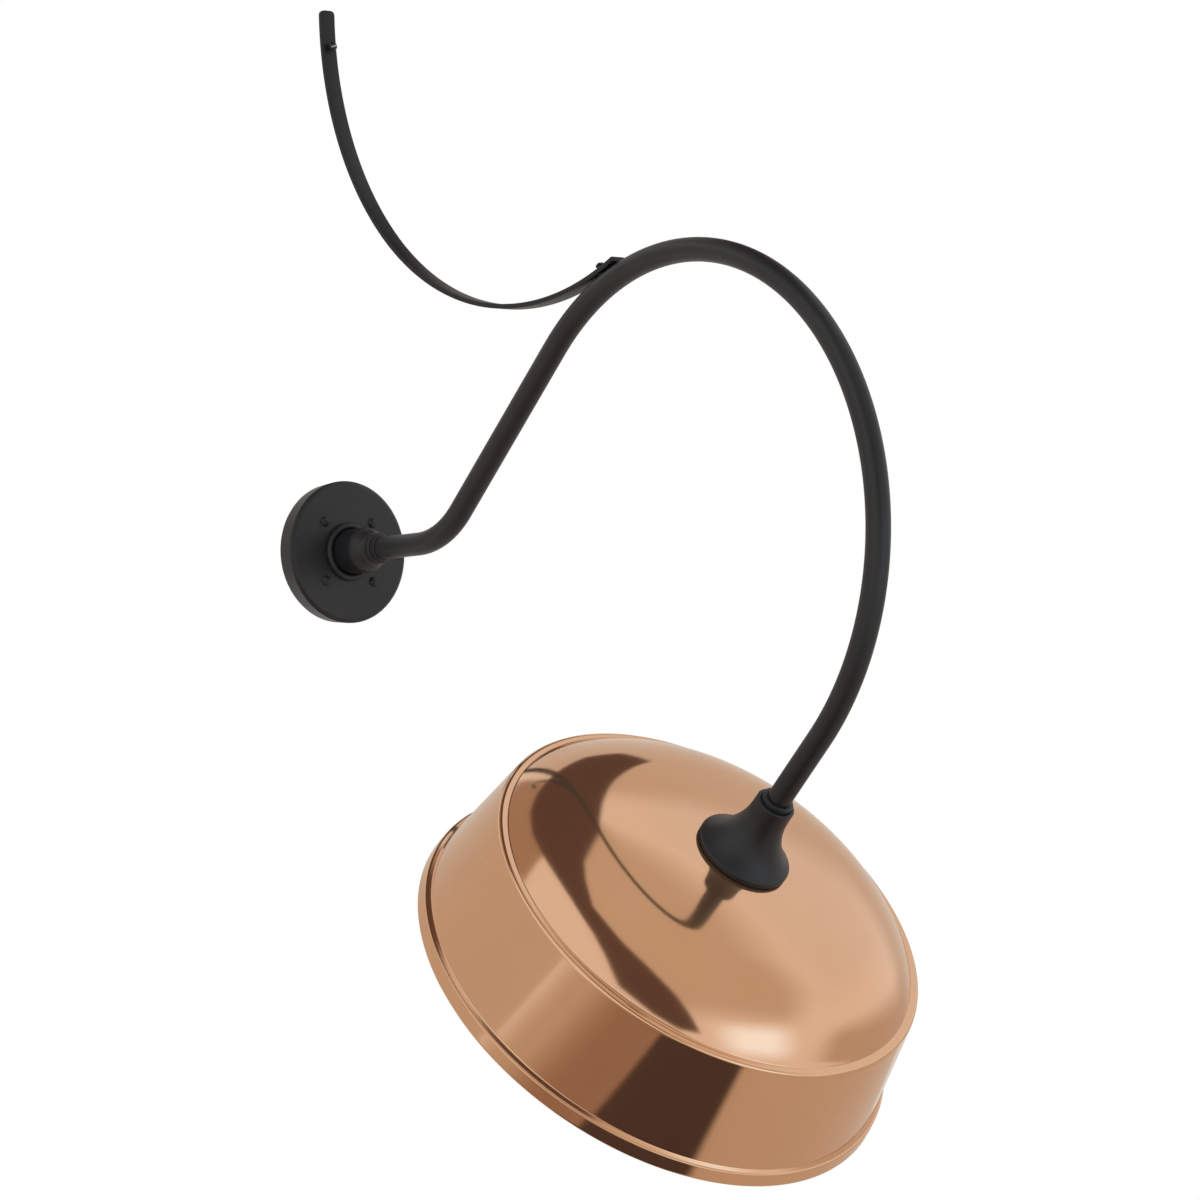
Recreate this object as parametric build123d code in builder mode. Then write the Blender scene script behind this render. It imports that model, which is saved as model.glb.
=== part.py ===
from build123d import *
from math import acos, asin, cos, degrees, radians, sin, sqrt, tan
import os

# Gooseneck wall sconce: a spun copper shade on a bent black tube, with a flat brace to the wall.
#
# Millimetres. The wall is the plane Y = 0 and the light stands out of it towards -Y, +Z up.
# The origin is the middle of the wall box's screw pattern, on the wall. The tube, the brace and
# the shade's axis lie in the plane X = 0.

# ---- clearances ---------------------------------------------------------------------------
thread_gap = 0.05           # radial gap of a screw in its tapped hole
slip_gap = 0.05             # radial gap of a part that is pushed on and locked
turning_gap = 0.08          # radial gap of the neck cap where it turns on the tube
hole_gap = 0.3              # radial gap of a screw or a pipe in a plain hole
free_gap = 0.3              # gap between faces that pass or face each other

# ---- tube ---------------------------------------------------------------------------------
tube_r = 10.1
tube_wall = 2.225
rise_angle = 43.6           # slope of the tube between its two bends
neck_tilt = 47.2            # tilt of the shade's axis from upright
first_run = 121.5           # level stretch, from the wall to the first bend
lower_bend_r = 88.5
rise_length = 185.0
arch_r = 234.4
neck_drop = 290.5           # from the end of the arch to the shade's rim plane, on its axis

# ---- wall canopy and its plate ----------------------------------------------------------------
gasket_thickness = 1.5
gasket_width = 7.0
gasket_setback = 1.0        # the canopy's edge overhangs the gasket by this much
canopy_back_r = 62.0
canopy_front_r = 63.4
canopy_face_r = 58.7        # edge of the flat front face
canopy_side = 17.5          # end of the side wall, from the wall
canopy_depth = 20.0         # front face, from the wall
canopy_wall = 2.5
canopy_screw_circle_r = 37.0
canopy_screw_count = 4
canopy_screw_angle = 45.0
plate_r = 51.5
plate_thickness = 2.5
plate_wire_hole_r = 14.0
box_spacing = 88.9          # screw spacing of the wall box
box_slot_width = 4.6
box_slot_length = 9.0
spacer_r = 4.5
spacer_foot_r = 3.2
ground_screw_z = -32.0

# ---- hub ------------------------------------------------------------------------------------
hub_bead_r = 26.0
hub_bead_height = 5.0
hub_r = 20.0
hub_straight_end = 44.0     # end of the hub's cylinder, from the wall
hub_shoulder_r = 14.5
hub_shoulder_end = 57.0
hub_nose_r = 13.0
hub_nose_end = 60.5
hub_shank_r = 13.0
hub_shank_end = 6.5
hub_wire_bore_r = 7.0
tube_seat = 26.0            # where the tube stops in the hub, from the wall
hub_washer_r = 21.0
hub_washer_thickness = 1.5
hub_nut_flats = 34.0
hub_nut_height = 6.0
hub_set_screw_at = 34.0     # from the wall
hub_set_screw_length = 9.0
collar_lip_r = 13.8
collar_lip_width = 5.6
collar_lip_edge = 1.6
collar_sleeve_r = 11.4
collar_sleeve_width = 4.6
collar_sleeve_edge = 0.8
collar_spigot = 8.0         # how far the collar reaches into the hub

# ---- screws ---------------------------------------------------------------------------------
canopy_screw_r = 2.4
canopy_screw_head_r = 4.6
canopy_screw_head_height = 3.4
canopy_screw_length = 15.0
ground_screw_r = 1.9
ground_screw_head_r = 3.8
ground_screw_head_height = 2.6
ground_screw_length = 2.2
set_screw_r = 2.5
set_screw_socket = 2.5      # across the flats
set_screw_socket_depth = 2.5
set_screw_point = 0.6       # chamfer of the point
screw_slot_width = 1.2
screw_slot_depth = 1.5
screw_tip_r = 1.2           # blunt end of a screw's point

# ---- brace ----------------------------------------------------------------------------------
strap_width = 15.0
strap_thickness = 4.2
strap_flat_end = 3.2        # flat top end, above the start of the curve
strap_gap = 0.15            # least distance from the strap to the tube
strap_upper_r = 299.2       # centre line of the first curve
strap_upper_turn = 43.5
strap_lower_r = 278.3       # centre line of the second curve
strap_end_turn = 3.467      # the curve goes on this far past the point nearest to the tube
strap_top_corner_r = 4.0
strap_end_corner_r = 1.0
wall_screw_drop = 30.1      # below the start of the strap's curve
wall_screw_r = 2.1
wall_screw_neck_r = 2.4     # plain neck in the strap
wall_screw_head_r = 4.2
wall_screw_head_height = 3.6
wall_screw_shoulder_r = 3.0
wall_screw_shoulder = 4.6   # the head stands this far off the strap
wall_screw_depth = 5.0      # plain length behind the wall plane
wall_screw_point = 1.2
arm_screw_turn = 1.35       # the screw is this far short of the point nearest to the tube
arm_screw_r = 2.0
arm_screw_head_r = 4.2
arm_screw_head_height = 3.2
arm_screw_shoulder_r = 3.0
arm_screw_shoulder = 3.9    # this head stands off the strap too
rivet_flange_r = 5.0
rivet_flange_reach = 2.6    # how far the flange's edge comes down beside the tube's crown
rivet_sleeve_r = 3.1
rivet_depth = 6.5           # from the strap's under side
arm_screw_tip = 0.5         # the rivet nut reaches this far past the screw

# ---- shade (heights on its own axis, from the rim plane towards the neck) -------------------
sheet = 1.0
shade_hole_r = 8.2
seat_r = 41.0               # flat seat under the neck cap
seat_height = 160.0
dome_r = 530.0
shoulder_from = 12.0        # slope where the dome turns into the shoulder
shoulder_to = 47.9          # slope where the shoulder ends
shoulder_r = 137.0
valley_drop = 0.9           # groove at the foot of the shoulder
valley_r = 2.0
ledge_width = 7.2           # from the groove out to the skirt
ledge_rise = 0.151          # top of the bead above the groove
ledge_r = 4.0
skirt_drop = 93.3           # from the bead down to the foot
skirt_slope = 0.169         # radius gained for each millimetre of drop
foot_fillet = 1.5
crease_width = 2.932
crease_drop = 2.1
crease_fillet = 1.2
lip_width = 1.6             # top of the rolled lip
lip_drop = 0.5
lip_fillet = 1.6
lip_height = 12.8           # side of the lip
lip_flare = 1.7
lip_curl = 2.2
lip_return = 3.1            # the edge turned in under the lip

# ---- neck (heights above the cap's underside) -----------------------------------------------
neck_gasket_thickness = 0.6
neck_gasket_outer_r = 38.5
neck_gasket_inner_r = 31.0
flange_r = 40.3
flange_side = 4.2
flange_lower_edge = 1.0
flange_upper_edge = 1.6
cove_foot_r = 38.4
cove_from = 36.0            # slope at the foot of the cove
cove_to = 88.0
cove_r = 52.5
cap_height = 57.5
cap_lip_r = 16.6
cap_lip_edge = 1.2
cap_recess_depth = 4.6
bell_mouth_r = 30.0
bell_top_r = 12.0
bell_depth = 18.0
neck_collar_r = 13.4
neck_collar_height = 9.0
neck_collar_edge = 1.4
neck_set_screw_at = 38.0
neck_set_screw_length = 6.5
tube_in_cap = 1.0           # the tube ends this far above the bell
nipple_bore_r = 6.0
nipple_in_tube = 26.0

# ---- lamp holder ----------------------------------------------------------------------------
neck_washer_r = 22.0
neck_washer_thickness = 1.5
neck_nut_flats = 24.0
neck_nut_height = 5.0
cup_r = 22.0
cup_wall = 1.0
cup_height = 24.0
cup_room = 9.0              # between the inner nut and the porcelain
porcelain_gap = 0.4
porcelain_height = 46.0
porcelain_edge = 2.5
shell_bore_r = 13.1         # medium screw lamp base
shell_wall = 0.5
shell_length = 26.0
shell_setback = 2.0         # the shell stops this far inside the porcelain's mouth
shell_eye_r = 3.8
contact_r = 2.4
contact_thickness = 0.6
cup_screw_r = 1.6
cup_screw_head_r = 3.0
cup_screw_head_height = 2.0
cup_screw_length = 5.0
cup_screw_drop = 20.0       # below the top of the cup

# ---- leads ----------------------------------------------------------------------------------
lead_r = 1.2
lead_spacing = 4.5
lead_hole_gap = 0.2
ground_lead_r = 1.0
ground_bend_r = 4.0

# ---- worked out from the sizes above ----------------------------------------------------------
# u runs out from the wall and z up, in the plane of the tube and the brace
arm_plane = Plane(origin=(0, 0, 0), x_dir=(0, -1, 0), z_dir=(-1, 0, 0))
wall_axis = Axis((0, 0, 0), (0, -1, 0))
# radius against distance from the wall
wall_profile = Plane(origin=(0, 0, 0), x_dir=(1, 0, 0), z_dir=(0, 0, -1))

rise = radians(rise_angle)
tilt = radians(neck_tilt)
arch_start_u = first_run + lower_bend_r * sin(rise) + rise_length * cos(rise)
arch_start_z = lower_bend_r * (1 - cos(rise)) + rise_length * sin(rise)
arch_u = arch_start_u + arch_r * sin(rise)
arch_z = arch_start_z - arch_r * cos(rise)
rim_u = arch_u + arch_r * cos(tilt) - neck_drop * sin(tilt)
rim_z = arch_z - arch_r * sin(tilt) - neck_drop * cos(tilt)
neck_up = Vector(0, -sin(tilt), cos(tilt))
neck_back = Vector(0, cos(tilt), sin(tilt))
neck_axis = Axis((0, -rim_u, rim_z), neck_up)
# radius against height on the shade's axis
neck_profile = Plane(origin=(0, -rim_u, rim_z), x_dir=(1, 0, 0), z_dir=-neck_back)
neck_frame = Plane(origin=(0, -rim_u, rim_z), x_dir=(1, 0, 0), z_dir=neck_up)

tube_bore_r = tube_r - tube_wall
nipple_r = tube_bore_r - slip_gap
turning_bore_r = tube_r + turning_gap
canopy_face_back = canopy_depth - canopy_wall
hub_hole_r = hub_shank_r + hole_gap
hub_bead_side = canopy_depth + hub_bead_height - (hub_bead_r - hub_r) / 2
collar_seat = hub_nose_end - collar_spigot
collar_bore_r = tube_r + slip_gap

strap_upper_u = strap_thickness / 2 + strap_upper_r
strap_shift = strap_upper_r - strap_lower_r
strap_lower_u = strap_upper_u - strap_shift * cos(radians(strap_upper_turn))
strap_arch_gap = strap_lower_r + strap_thickness / 2 + strap_gap + tube_r + arch_r
strap_near_slope = degrees(asin((arch_u - strap_lower_u) / strap_arch_gap))
strap_lower_z = arch_z + strap_arch_gap * cos(radians(strap_near_slope))
strap_bend_z = strap_lower_z + strap_shift * sin(radians(strap_upper_turn))
strap_top_z = strap_bend_z + strap_flat_end
wall_screw_z = strap_bend_z - wall_screw_drop
arm_screw_slope = strap_near_slope - arm_screw_turn
strap_end_slope = strap_near_slope + strap_end_turn
strap_face_r = strap_upper_r - strap_thickness / 2
strap_face_drop = wall_screw_drop + wall_screw_shoulder_r
wall_screw_seat = strap_upper_u - sqrt(strap_face_r ** 2 - strap_face_drop ** 2)
arm_screw_u = strap_lower_u + (strap_lower_r + strap_thickness / 2) * sin(radians(arm_screw_slope))
arm_screw_z = strap_lower_z - (strap_lower_r + strap_thickness / 2) * cos(radians(arm_screw_slope))
# on the strap's under side, square to it, facing up
arm_screw_plane = Plane(
    origin=(0, -arm_screw_u, arm_screw_z),
    x_dir=(1, 0, 0),
    z_dir=(0, sin(radians(arm_screw_slope)), cos(radians(arm_screw_slope))),
)

flange_base = seat_height + neck_gasket_thickness
cove_foot = flange_side + (flange_r - cove_foot_r) * tan(radians(cove_from))
cap_top = flange_base + cap_height
recess_floor = cap_top - cap_recess_depth
tube_end = flange_base + bell_depth + tube_in_cap
washer_top = seat_height - sheet - free_gap
cup_top = washer_top - neck_washer_thickness - neck_nut_height
nipple_end = cup_top - cup_wall - neck_nut_height
porcelain_top = nipple_end - cup_room
porcelain_bottom = porcelain_top - porcelain_height
porcelain_r = cup_r - cup_wall - porcelain_gap
shell_r = shell_bore_r + shell_wall
shell_top = porcelain_bottom + shell_setback + shell_length
cup_screw_height = cup_top - cup_screw_drop


def off_wall(distance):
    """A plane parallel to the wall, facing out of it, with its own y up."""
    return Plane(origin=(0, -distance, 0), x_dir=(1, 0, 0), z_dir=(0, -1, 0))


def tube_route(start, end_height, aside=0.0):
    """The tube's centre line, from a distance off the wall to a height on the neck axis."""
    with BuildLine(arm_plane.offset(-aside)) as route:
        run = Line((start, 0), (first_run, 0))
        lower = JernArc(run @ 1, run % 1, lower_bend_r, rise_angle)
        slope = Line(lower @ 1, (lower @ 1) + (lower % 1) * rise_length)
        arch = JernArc(slope @ 1, slope % 1, arch_r, -(rise_angle + 90 + neck_tilt))
        Line(arch @ 1, (arch @ 1) + (arch % 1) * (neck_drop - end_height))
    return route.line


def slotted_screw(plane, shank_r, length, head_r, head_height, shoulder_r=0.0, shoulder=0.0, point=0.0):
    """A slotted round-head screw that is seated on a plane, with its head on the upper side."""
    crown_r = (head_r ** 2 + head_height ** 2) / (2 * head_height)
    crown_turn = degrees(acos((crown_r - head_height) / crown_r))
    axis = Axis(plane.origin, plane.z_dir)
    with BuildPart() as screw:
        with BuildSketch(Plane(origin=plane.origin, x_dir=plane.x_dir, z_dir=-plane.y_dir)):
            with BuildLine():
                crown_centre = (0, shoulder + head_height - crown_r)
                crown = CenterArc(crown_centre, crown_r, 90 - crown_turn, crown_turn)
                Polyline(crown @ 0, (0, shoulder), crown @ 1)
            make_face()
        revolve(axis=axis)
        with BuildSketch(plane.offset(shoulder)):
            Circle(shank_r)
        extrude(amount=-shoulder - length)
        if shoulder > 0:
            with BuildSketch(plane):
                Circle(shoulder_r)
            extrude(amount=shoulder)
        if point > 0:
            with BuildSketch(plane.offset(-length)):
                Circle(shank_r)
            with BuildSketch(plane.offset(-length - point)):
                Circle(screw_tip_r)
            loft()
        with BuildSketch(plane.offset(shoulder + head_height)):
            Rectangle(2 * head_r, screw_slot_width)
        extrude(amount=-screw_slot_depth, mode=Mode.SUBTRACT)
    return screw.part


def set_screw(plane, length):
    """A headless screw with a hexagon socket. Its point is on the plane, its socket faces up."""
    with BuildPart() as screw:
        with BuildSketch(plane):
            Circle(set_screw_r)
        extrude(amount=length)
        point = screw.faces().sort_by(Axis(plane.origin, plane.z_dir))[0]
        chamfer(point.edges(), set_screw_point)
        with BuildSketch(plane.offset(length)):
            RegularPolygon(set_screw_socket / 2, 6, major_radius=False)
        extrude(amount=-set_screw_socket_depth, mode=Mode.SUBTRACT)
    return screw.part


def ring(plane, outer_r, inner_r, thickness):
    """A flat ring that stands on a plane."""
    with BuildPart() as flat_ring:
        with BuildSketch(plane):
            Circle(outer_r)
            Circle(inner_r, mode=Mode.SUBTRACT)
        extrude(amount=thickness)
    return flat_ring.part


def hex_nut(plane, flats, bore_r, height):
    """A hexagon nut that stands on a plane."""
    with BuildPart() as nut:
        with BuildSketch(plane):
            RegularPolygon(flats / 2, 6, major_radius=False)
            Circle(bore_r, mode=Mode.SUBTRACT)
        extrude(amount=height)
    return nut.part


def write(piece, name):
    """Label a piece and write its STEP file."""
    piece.label = name
    export_step(piece, f"parts/{name}.step")


os.makedirs("parts", exist_ok=True)

# ---- canopy gasket ----------------------------------------------------------------------------
gasket_outer_r = canopy_back_r - gasket_setback
canopy_gasket = ring(off_wall(0), gasket_outer_r, gasket_outer_r - gasket_width, gasket_thickness)
write(canopy_gasket, "canopy_gasket")

# ---- mounting plate: two slots for the box screws, four holes for the spacers -----------------
with BuildPart() as mounting_plate:
    with BuildSketch(off_wall(0)):
        Circle(plate_r)
        Circle(plate_wire_hole_r, mode=Mode.SUBTRACT)
        with GridLocations(box_spacing, 0, 2, 1):
            SlotOverall(box_slot_length, box_slot_width, mode=Mode.SUBTRACT)
        with PolarLocations(canopy_screw_circle_r, canopy_screw_count, start_angle=canopy_screw_angle):
            Circle(spacer_foot_r + slip_gap, mode=Mode.SUBTRACT)
        with Locations((0, ground_screw_z)):
            Circle(ground_screw_r + thread_gap, mode=Mode.SUBTRACT)
    extrude(amount=plate_thickness)
write(mounting_plate.part, "mounting_plate")

# ---- spacers, staked in the plate and tapped for the canopy screws ----------------------------
with BuildPart() as canopy_spacers:
    with BuildSketch(off_wall(0)):
        with PolarLocations(canopy_screw_circle_r, canopy_screw_count, start_angle=canopy_screw_angle):
            Circle(spacer_foot_r)
            Circle(canopy_screw_r + thread_gap, mode=Mode.SUBTRACT)
    extrude(amount=plate_thickness)
    with BuildSketch(off_wall(plate_thickness)):
        with PolarLocations(canopy_screw_circle_r, canopy_screw_count, start_angle=canopy_screw_angle):
            Circle(spacer_r)
            Circle(canopy_screw_r + thread_gap, mode=Mode.SUBTRACT)
    extrude(amount=canopy_face_back - plate_thickness)
write(canopy_spacers.part, "canopy_spacers")

# ---- ground screw in the plate ------------------------------------------------------------------
ground_plane = Plane(origin=(0, -plate_thickness, ground_screw_z), x_dir=(1, 0, 0), z_dir=(0, -1, 0))
ground_screw = slotted_screw(
    ground_plane, ground_screw_r, ground_screw_length, ground_screw_head_r, ground_screw_head_height
)
write(ground_screw, "ground_screw")

# ---- wall canopy: a flared shell with a rounded front edge --------------------------------------
with BuildPart() as wall_canopy:
    with BuildSketch(wall_profile):
        with BuildLine():
            outer_edge = TangentArc(
                (canopy_face_r, canopy_depth), (canopy_front_r, canopy_side), tangent=(1, 0)
            )
            inner_edge = TangentArc(
                (canopy_face_r - canopy_wall, canopy_face_back),
                (canopy_front_r - canopy_wall, canopy_side - canopy_wall),
                tangent=(1, 0),
            )
            Polyline(
                outer_edge @ 1,
                (canopy_back_r, gasket_thickness),
                (canopy_back_r - canopy_wall, gasket_thickness),
                inner_edge @ 1,
            )
            Polyline(
                inner_edge @ 0,
                (hub_hole_r, canopy_face_back),
                (hub_hole_r, canopy_depth),
                outer_edge @ 0,
            )
        make_face()
    revolve(axis=wall_axis)
    with BuildSketch(off_wall(canopy_depth)):
        with PolarLocations(canopy_screw_circle_r, canopy_screw_count, start_angle=canopy_screw_angle):
            Circle(canopy_screw_r + hole_gap)
    extrude(amount=-canopy_wall, mode=Mode.SUBTRACT)
write(wall_canopy.part, "wall_canopy")

# ---- canopy screws ------------------------------------------------------------------------------
canopy_screw = slotted_screw(
    Plane.XY, canopy_screw_r, canopy_screw_length, canopy_screw_head_r, canopy_screw_head_height
)
with BuildPart(off_wall(canopy_depth)) as canopy_screws:
    with PolarLocations(
        canopy_screw_circle_r, canopy_screw_count, start_angle=canopy_screw_angle, rotate=False
    ):
        add(canopy_screw)
write(canopy_screws.part, "canopy_screws")

# ---- hub: bead, body and shouldered nose, with a threaded shank behind the canopy ---------------
hub_set_screw_hole = Plane(origin=(0, -hub_set_screw_at, 0), x_dir=(1, 0, 0), z_dir=(0, 0, -1))
with BuildPart() as hub:
    with BuildSketch(wall_profile):
        with BuildLine():
            bead_top_r = (hub_bead_r + hub_r) / 2
            bead = ThreePointArc(
                (hub_bead_r, hub_bead_side),
                (bead_top_r, canopy_depth + hub_bead_height),
                (hub_r, hub_bead_side),
            )
            body = Line(bead @ 1, (hub_r, hub_straight_end))
            shoulder = TangentArc(body @ 1, (hub_shoulder_r, hub_shoulder_end), tangent=body % 1)
            Polyline(
                shoulder @ 1,
                (hub_nose_r, hub_nose_end),
                (collar_sleeve_r + slip_gap, hub_nose_end),
                (collar_sleeve_r + slip_gap, collar_seat),
                (collar_bore_r, collar_seat),
                (collar_bore_r, tube_seat),
                (hub_wire_bore_r, tube_seat),
                (hub_wire_bore_r, hub_shank_end),
                (hub_shank_r, hub_shank_end),
                (hub_shank_r, canopy_depth),
                (hub_bead_r, canopy_depth),
                bead @ 0,
            )
        make_face()
    revolve(axis=wall_axis)
    with BuildSketch(hub_set_screw_hole):
        Circle(set_screw_r + thread_gap)
    extrude(amount=hub_bead_r, mode=Mode.SUBTRACT)
write(hub.part, "hub")

# ---- hub fasteners ------------------------------------------------------------------------------
hub_lockwasher = ring(
    off_wall(canopy_face_back - hub_washer_thickness), hub_washer_r, hub_hole_r, hub_washer_thickness
)
write(hub_lockwasher, "hub_lockwasher")
hub_locknut = hex_nut(
    off_wall(canopy_face_back - hub_washer_thickness - hub_nut_height),
    hub_nut_flats,
    hub_shank_r + thread_gap,
    hub_nut_height,
)
write(hub_locknut, "hub_locknut")
hub_set_screw = set_screw(hub_set_screw_hole.offset(collar_bore_r), hub_set_screw_length)
write(hub_set_screw, "hub_set_screw")

# ---- collar: closes the hub's mouth round the tube ----------------------------------------------
with BuildPart() as arm_collar:
    with BuildSketch(wall_profile):
        lip_end = hub_nose_end + collar_lip_width
        sleeve_end = lip_end + collar_sleeve_width
        with BuildLine():
            lip = FilletPolyline(
                (collar_sleeve_r, hub_nose_end),
                (collar_lip_r, hub_nose_end),
                (collar_lip_r, lip_end),
                (collar_sleeve_r, lip_end),
                radius=[collar_lip_edge / 2, collar_lip_edge],
            )
            sleeve = FilletPolyline(
                lip @ 1,
                (collar_sleeve_r, sleeve_end),
                (collar_bore_r, sleeve_end),
                radius=collar_sleeve_edge,
            )
            Polyline(
                sleeve @ 1,
                (collar_bore_r, collar_seat + free_gap),
                (collar_sleeve_r, collar_seat + free_gap),
                lip @ 0,
            )
        make_face()
    revolve(axis=wall_axis)
write(arm_collar.part, "arm_collar")

# ---- tube ---------------------------------------------------------------------------------------
arm_path = tube_route(tube_seat, tube_end)
with BuildPart() as gooseneck_arm:
    with BuildSketch(off_wall(tube_seat)):
        Circle(tube_r)
        Circle(tube_bore_r, mode=Mode.SUBTRACT)
    sweep(path=arm_path)
    with BuildSketch(arm_screw_plane):
        Circle(rivet_sleeve_r + slip_gap)
    extrude(amount=-rivet_depth, mode=Mode.SUBTRACT)
write(gooseneck_arm.part, "gooseneck_arm")

# ---- brace: a flat bar, flush on the wall at its top and bent in two tangent curves --------------
with BuildPart() as brace_strap:
    with BuildSketch(arm_plane):
        lower_turn = 90 - strap_upper_turn + strap_end_slope
        with BuildLine():
            wall_side = CenterArc(
                (strap_upper_u, strap_bend_z),
                strap_upper_r + strap_thickness / 2,
                180,
                strap_upper_turn,
            )
            under_side = CenterArc(
                (strap_lower_u, strap_lower_z),
                strap_lower_r + strap_thickness / 2,
                180 + strap_upper_turn,
                lower_turn,
            )
            room_side = CenterArc(
                (strap_upper_u, strap_bend_z),
                strap_upper_r - strap_thickness / 2,
                180,
                strap_upper_turn,
            )
            upper_side = CenterArc(
                (strap_lower_u, strap_lower_z),
                strap_lower_r - strap_thickness / 2,
                180 + strap_upper_turn,
                lower_turn,
            )
            Line(under_side @ 1, upper_side @ 1)
            Polyline(
                wall_side @ 0, (0, strap_top_z), (strap_thickness, strap_top_z), room_side @ 0
            )
        make_face()
    extrude(amount=strap_width / 2, both=True)
    fillet(brace_strap.edges().filter_by(Axis.Y), strap_top_corner_r)
    outer_end = brace_strap.faces().sort_by(Axis.Y)[0]
    fillet(outer_end.edges().sort_by(SortBy.LENGTH)[:2], strap_end_corner_r)
    with BuildSketch(off_wall(0)):
        with Locations((0, wall_screw_z)):
            Circle(wall_screw_neck_r + hole_gap)
    extrude(amount=wall_screw_seat, mode=Mode.SUBTRACT)
    with BuildSketch(arm_screw_plane):
        Circle(arm_screw_r + hole_gap)
    extrude(amount=strap_thickness + slip_gap, mode=Mode.SUBTRACT)
write(brace_strap.part, "brace_strap")

# ---- brace screws ---------------------------------------------------------------------------------
wall_screw_plane = Plane(origin=(0, -wall_screw_seat, wall_screw_z), x_dir=(1, 0, 0), z_dir=(0, -1, 0))
with BuildPart() as brace_wall_screw:
    add(
        slotted_screw(
            wall_screw_plane,
            wall_screw_r,
            wall_screw_seat + wall_screw_depth,
            wall_screw_head_r,
            wall_screw_head_height,
            shoulder_r=wall_screw_shoulder_r,
            shoulder=wall_screw_shoulder,
            point=wall_screw_point,
        )
    )
    with BuildSketch(off_wall(0)):
        with Locations((0, wall_screw_z)):
            Circle(wall_screw_neck_r)
    extrude(amount=wall_screw_seat)
write(brace_wall_screw.part, "brace_wall_screw")
arm_screw_length = strap_thickness + slip_gap + rivet_depth - arm_screw_tip
brace_arm_screw = slotted_screw(
    arm_screw_plane.offset(strap_thickness + slip_gap),
    arm_screw_r,
    arm_screw_length,
    arm_screw_head_r,
    arm_screw_head_height,
    shoulder_r=arm_screw_shoulder_r,
    shoulder=arm_screw_shoulder,
)
write(brace_arm_screw, "brace_arm_screw")

# ---- rivet nut in the tube: its flange fills the space under the strap ------------------------------
with BuildPart() as tube_outside:
    with BuildSketch(off_wall(tube_seat)):
        Circle(tube_r + slip_gap)
    sweep(path=arm_path)
with BuildPart() as arm_rivet_nut:
    with BuildSketch(arm_screw_plane):
        Circle(rivet_flange_r)
    extrude(amount=-rivet_flange_reach)
    add(tube_outside.part, mode=Mode.SUBTRACT)
    with BuildSketch(arm_screw_plane):
        Circle(rivet_sleeve_r)
    extrude(amount=-rivet_depth)
    with BuildSketch(arm_screw_plane):
        Circle(arm_screw_r + thread_gap)
    extrude(amount=-rivet_depth, mode=Mode.SUBTRACT)
write(arm_rivet_nut.part, "arm_rivet_nut")

# ---- shade: one spun sheet, from the neck hole to the curled rim -------------------------------------
with BuildPart() as shade:
    with BuildSketch(neck_profile):
        seat_slope = degrees(asin(seat_r / dome_r))
        dome_centre = (0, seat_height - sqrt(dome_r ** 2 - seat_r ** 2))
        with BuildLine() as outside:
            seat = Line((shade_hole_r, seat_height), (seat_r, seat_height))
            dome = CenterArc(dome_centre, dome_r, 90 - seat_slope, seat_slope - shoulder_from)
            shoulder = JernArc(dome @ 1, dome % 1, shoulder_r, shoulder_from - shoulder_to)
            valley = shoulder @ 1 + shoulder % 1 * valley_drop / sin(radians(shoulder_to))
            ledge = valley + Vector(ledge_width, ledge_rise)
            foot = ledge + Vector(skirt_slope * skirt_drop, -skirt_drop)
            crease = foot + Vector(crease_width, -crease_drop)
            lip_top = crease + Vector(lip_width, -lip_drop)
            lip_bottom = lip_top + Vector(lip_flare, -lip_height)
            FilletPolyline(
                shoulder @ 1,
                valley,
                ledge,
                foot,
                crease,
                lip_top,
                lip_bottom,
                lip_bottom - Vector(lip_return, 0),
                radius=[valley_r, ledge_r, foot_fillet, crease_fillet, lip_fillet, lip_curl],
            )
            offset(amount=sheet, side=Side.RIGHT, closed=True)
        make_face()
    revolve(axis=neck_axis)
write(shade.part, "shade")

# ---- neck cap: flange, cove and lip, hollow below and recessed on top ---------------------------------
neck_screw_origin = neck_frame.origin + neck_up * (flange_base + neck_set_screw_at)
neck_set_screw_hole = Plane(origin=neck_screw_origin, x_dir=(1, 0, 0), z_dir=neck_back)
with BuildPart() as neck_cap:
    with BuildSketch(neck_profile):
        with BuildLine():
            flange = FilletPolyline(
                (bell_mouth_r, flange_base),
                (flange_r, flange_base),
                (flange_r, flange_base + flange_side),
                (cove_foot_r, flange_base + cove_foot),
                radius=[flange_lower_edge, flange_upper_edge],
            )
            cove = JernArc(flange @ 1, flange % 1, cove_r, cove_from - cove_to)
            lip = FilletPolyline(
                cove @ 1,
                (cap_lip_r, cap_top),
                (neck_collar_r + free_gap, cap_top),
                radius=cap_lip_edge,
            )
            Polyline(
                lip @ 1,
                (neck_collar_r + free_gap, recess_floor),
                (turning_bore_r, recess_floor),
                (turning_bore_r, flange_base + bell_depth),
                (bell_top_r, flange_base + bell_depth),
                flange @ 0,
            )
        make_face()
    revolve(axis=neck_axis)
    with BuildSketch(neck_set_screw_hole):
        Circle(set_screw_r + thread_gap)
    extrude(amount=flange_r, mode=Mode.SUBTRACT)
write(neck_cap.part, "neck_cap")

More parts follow.
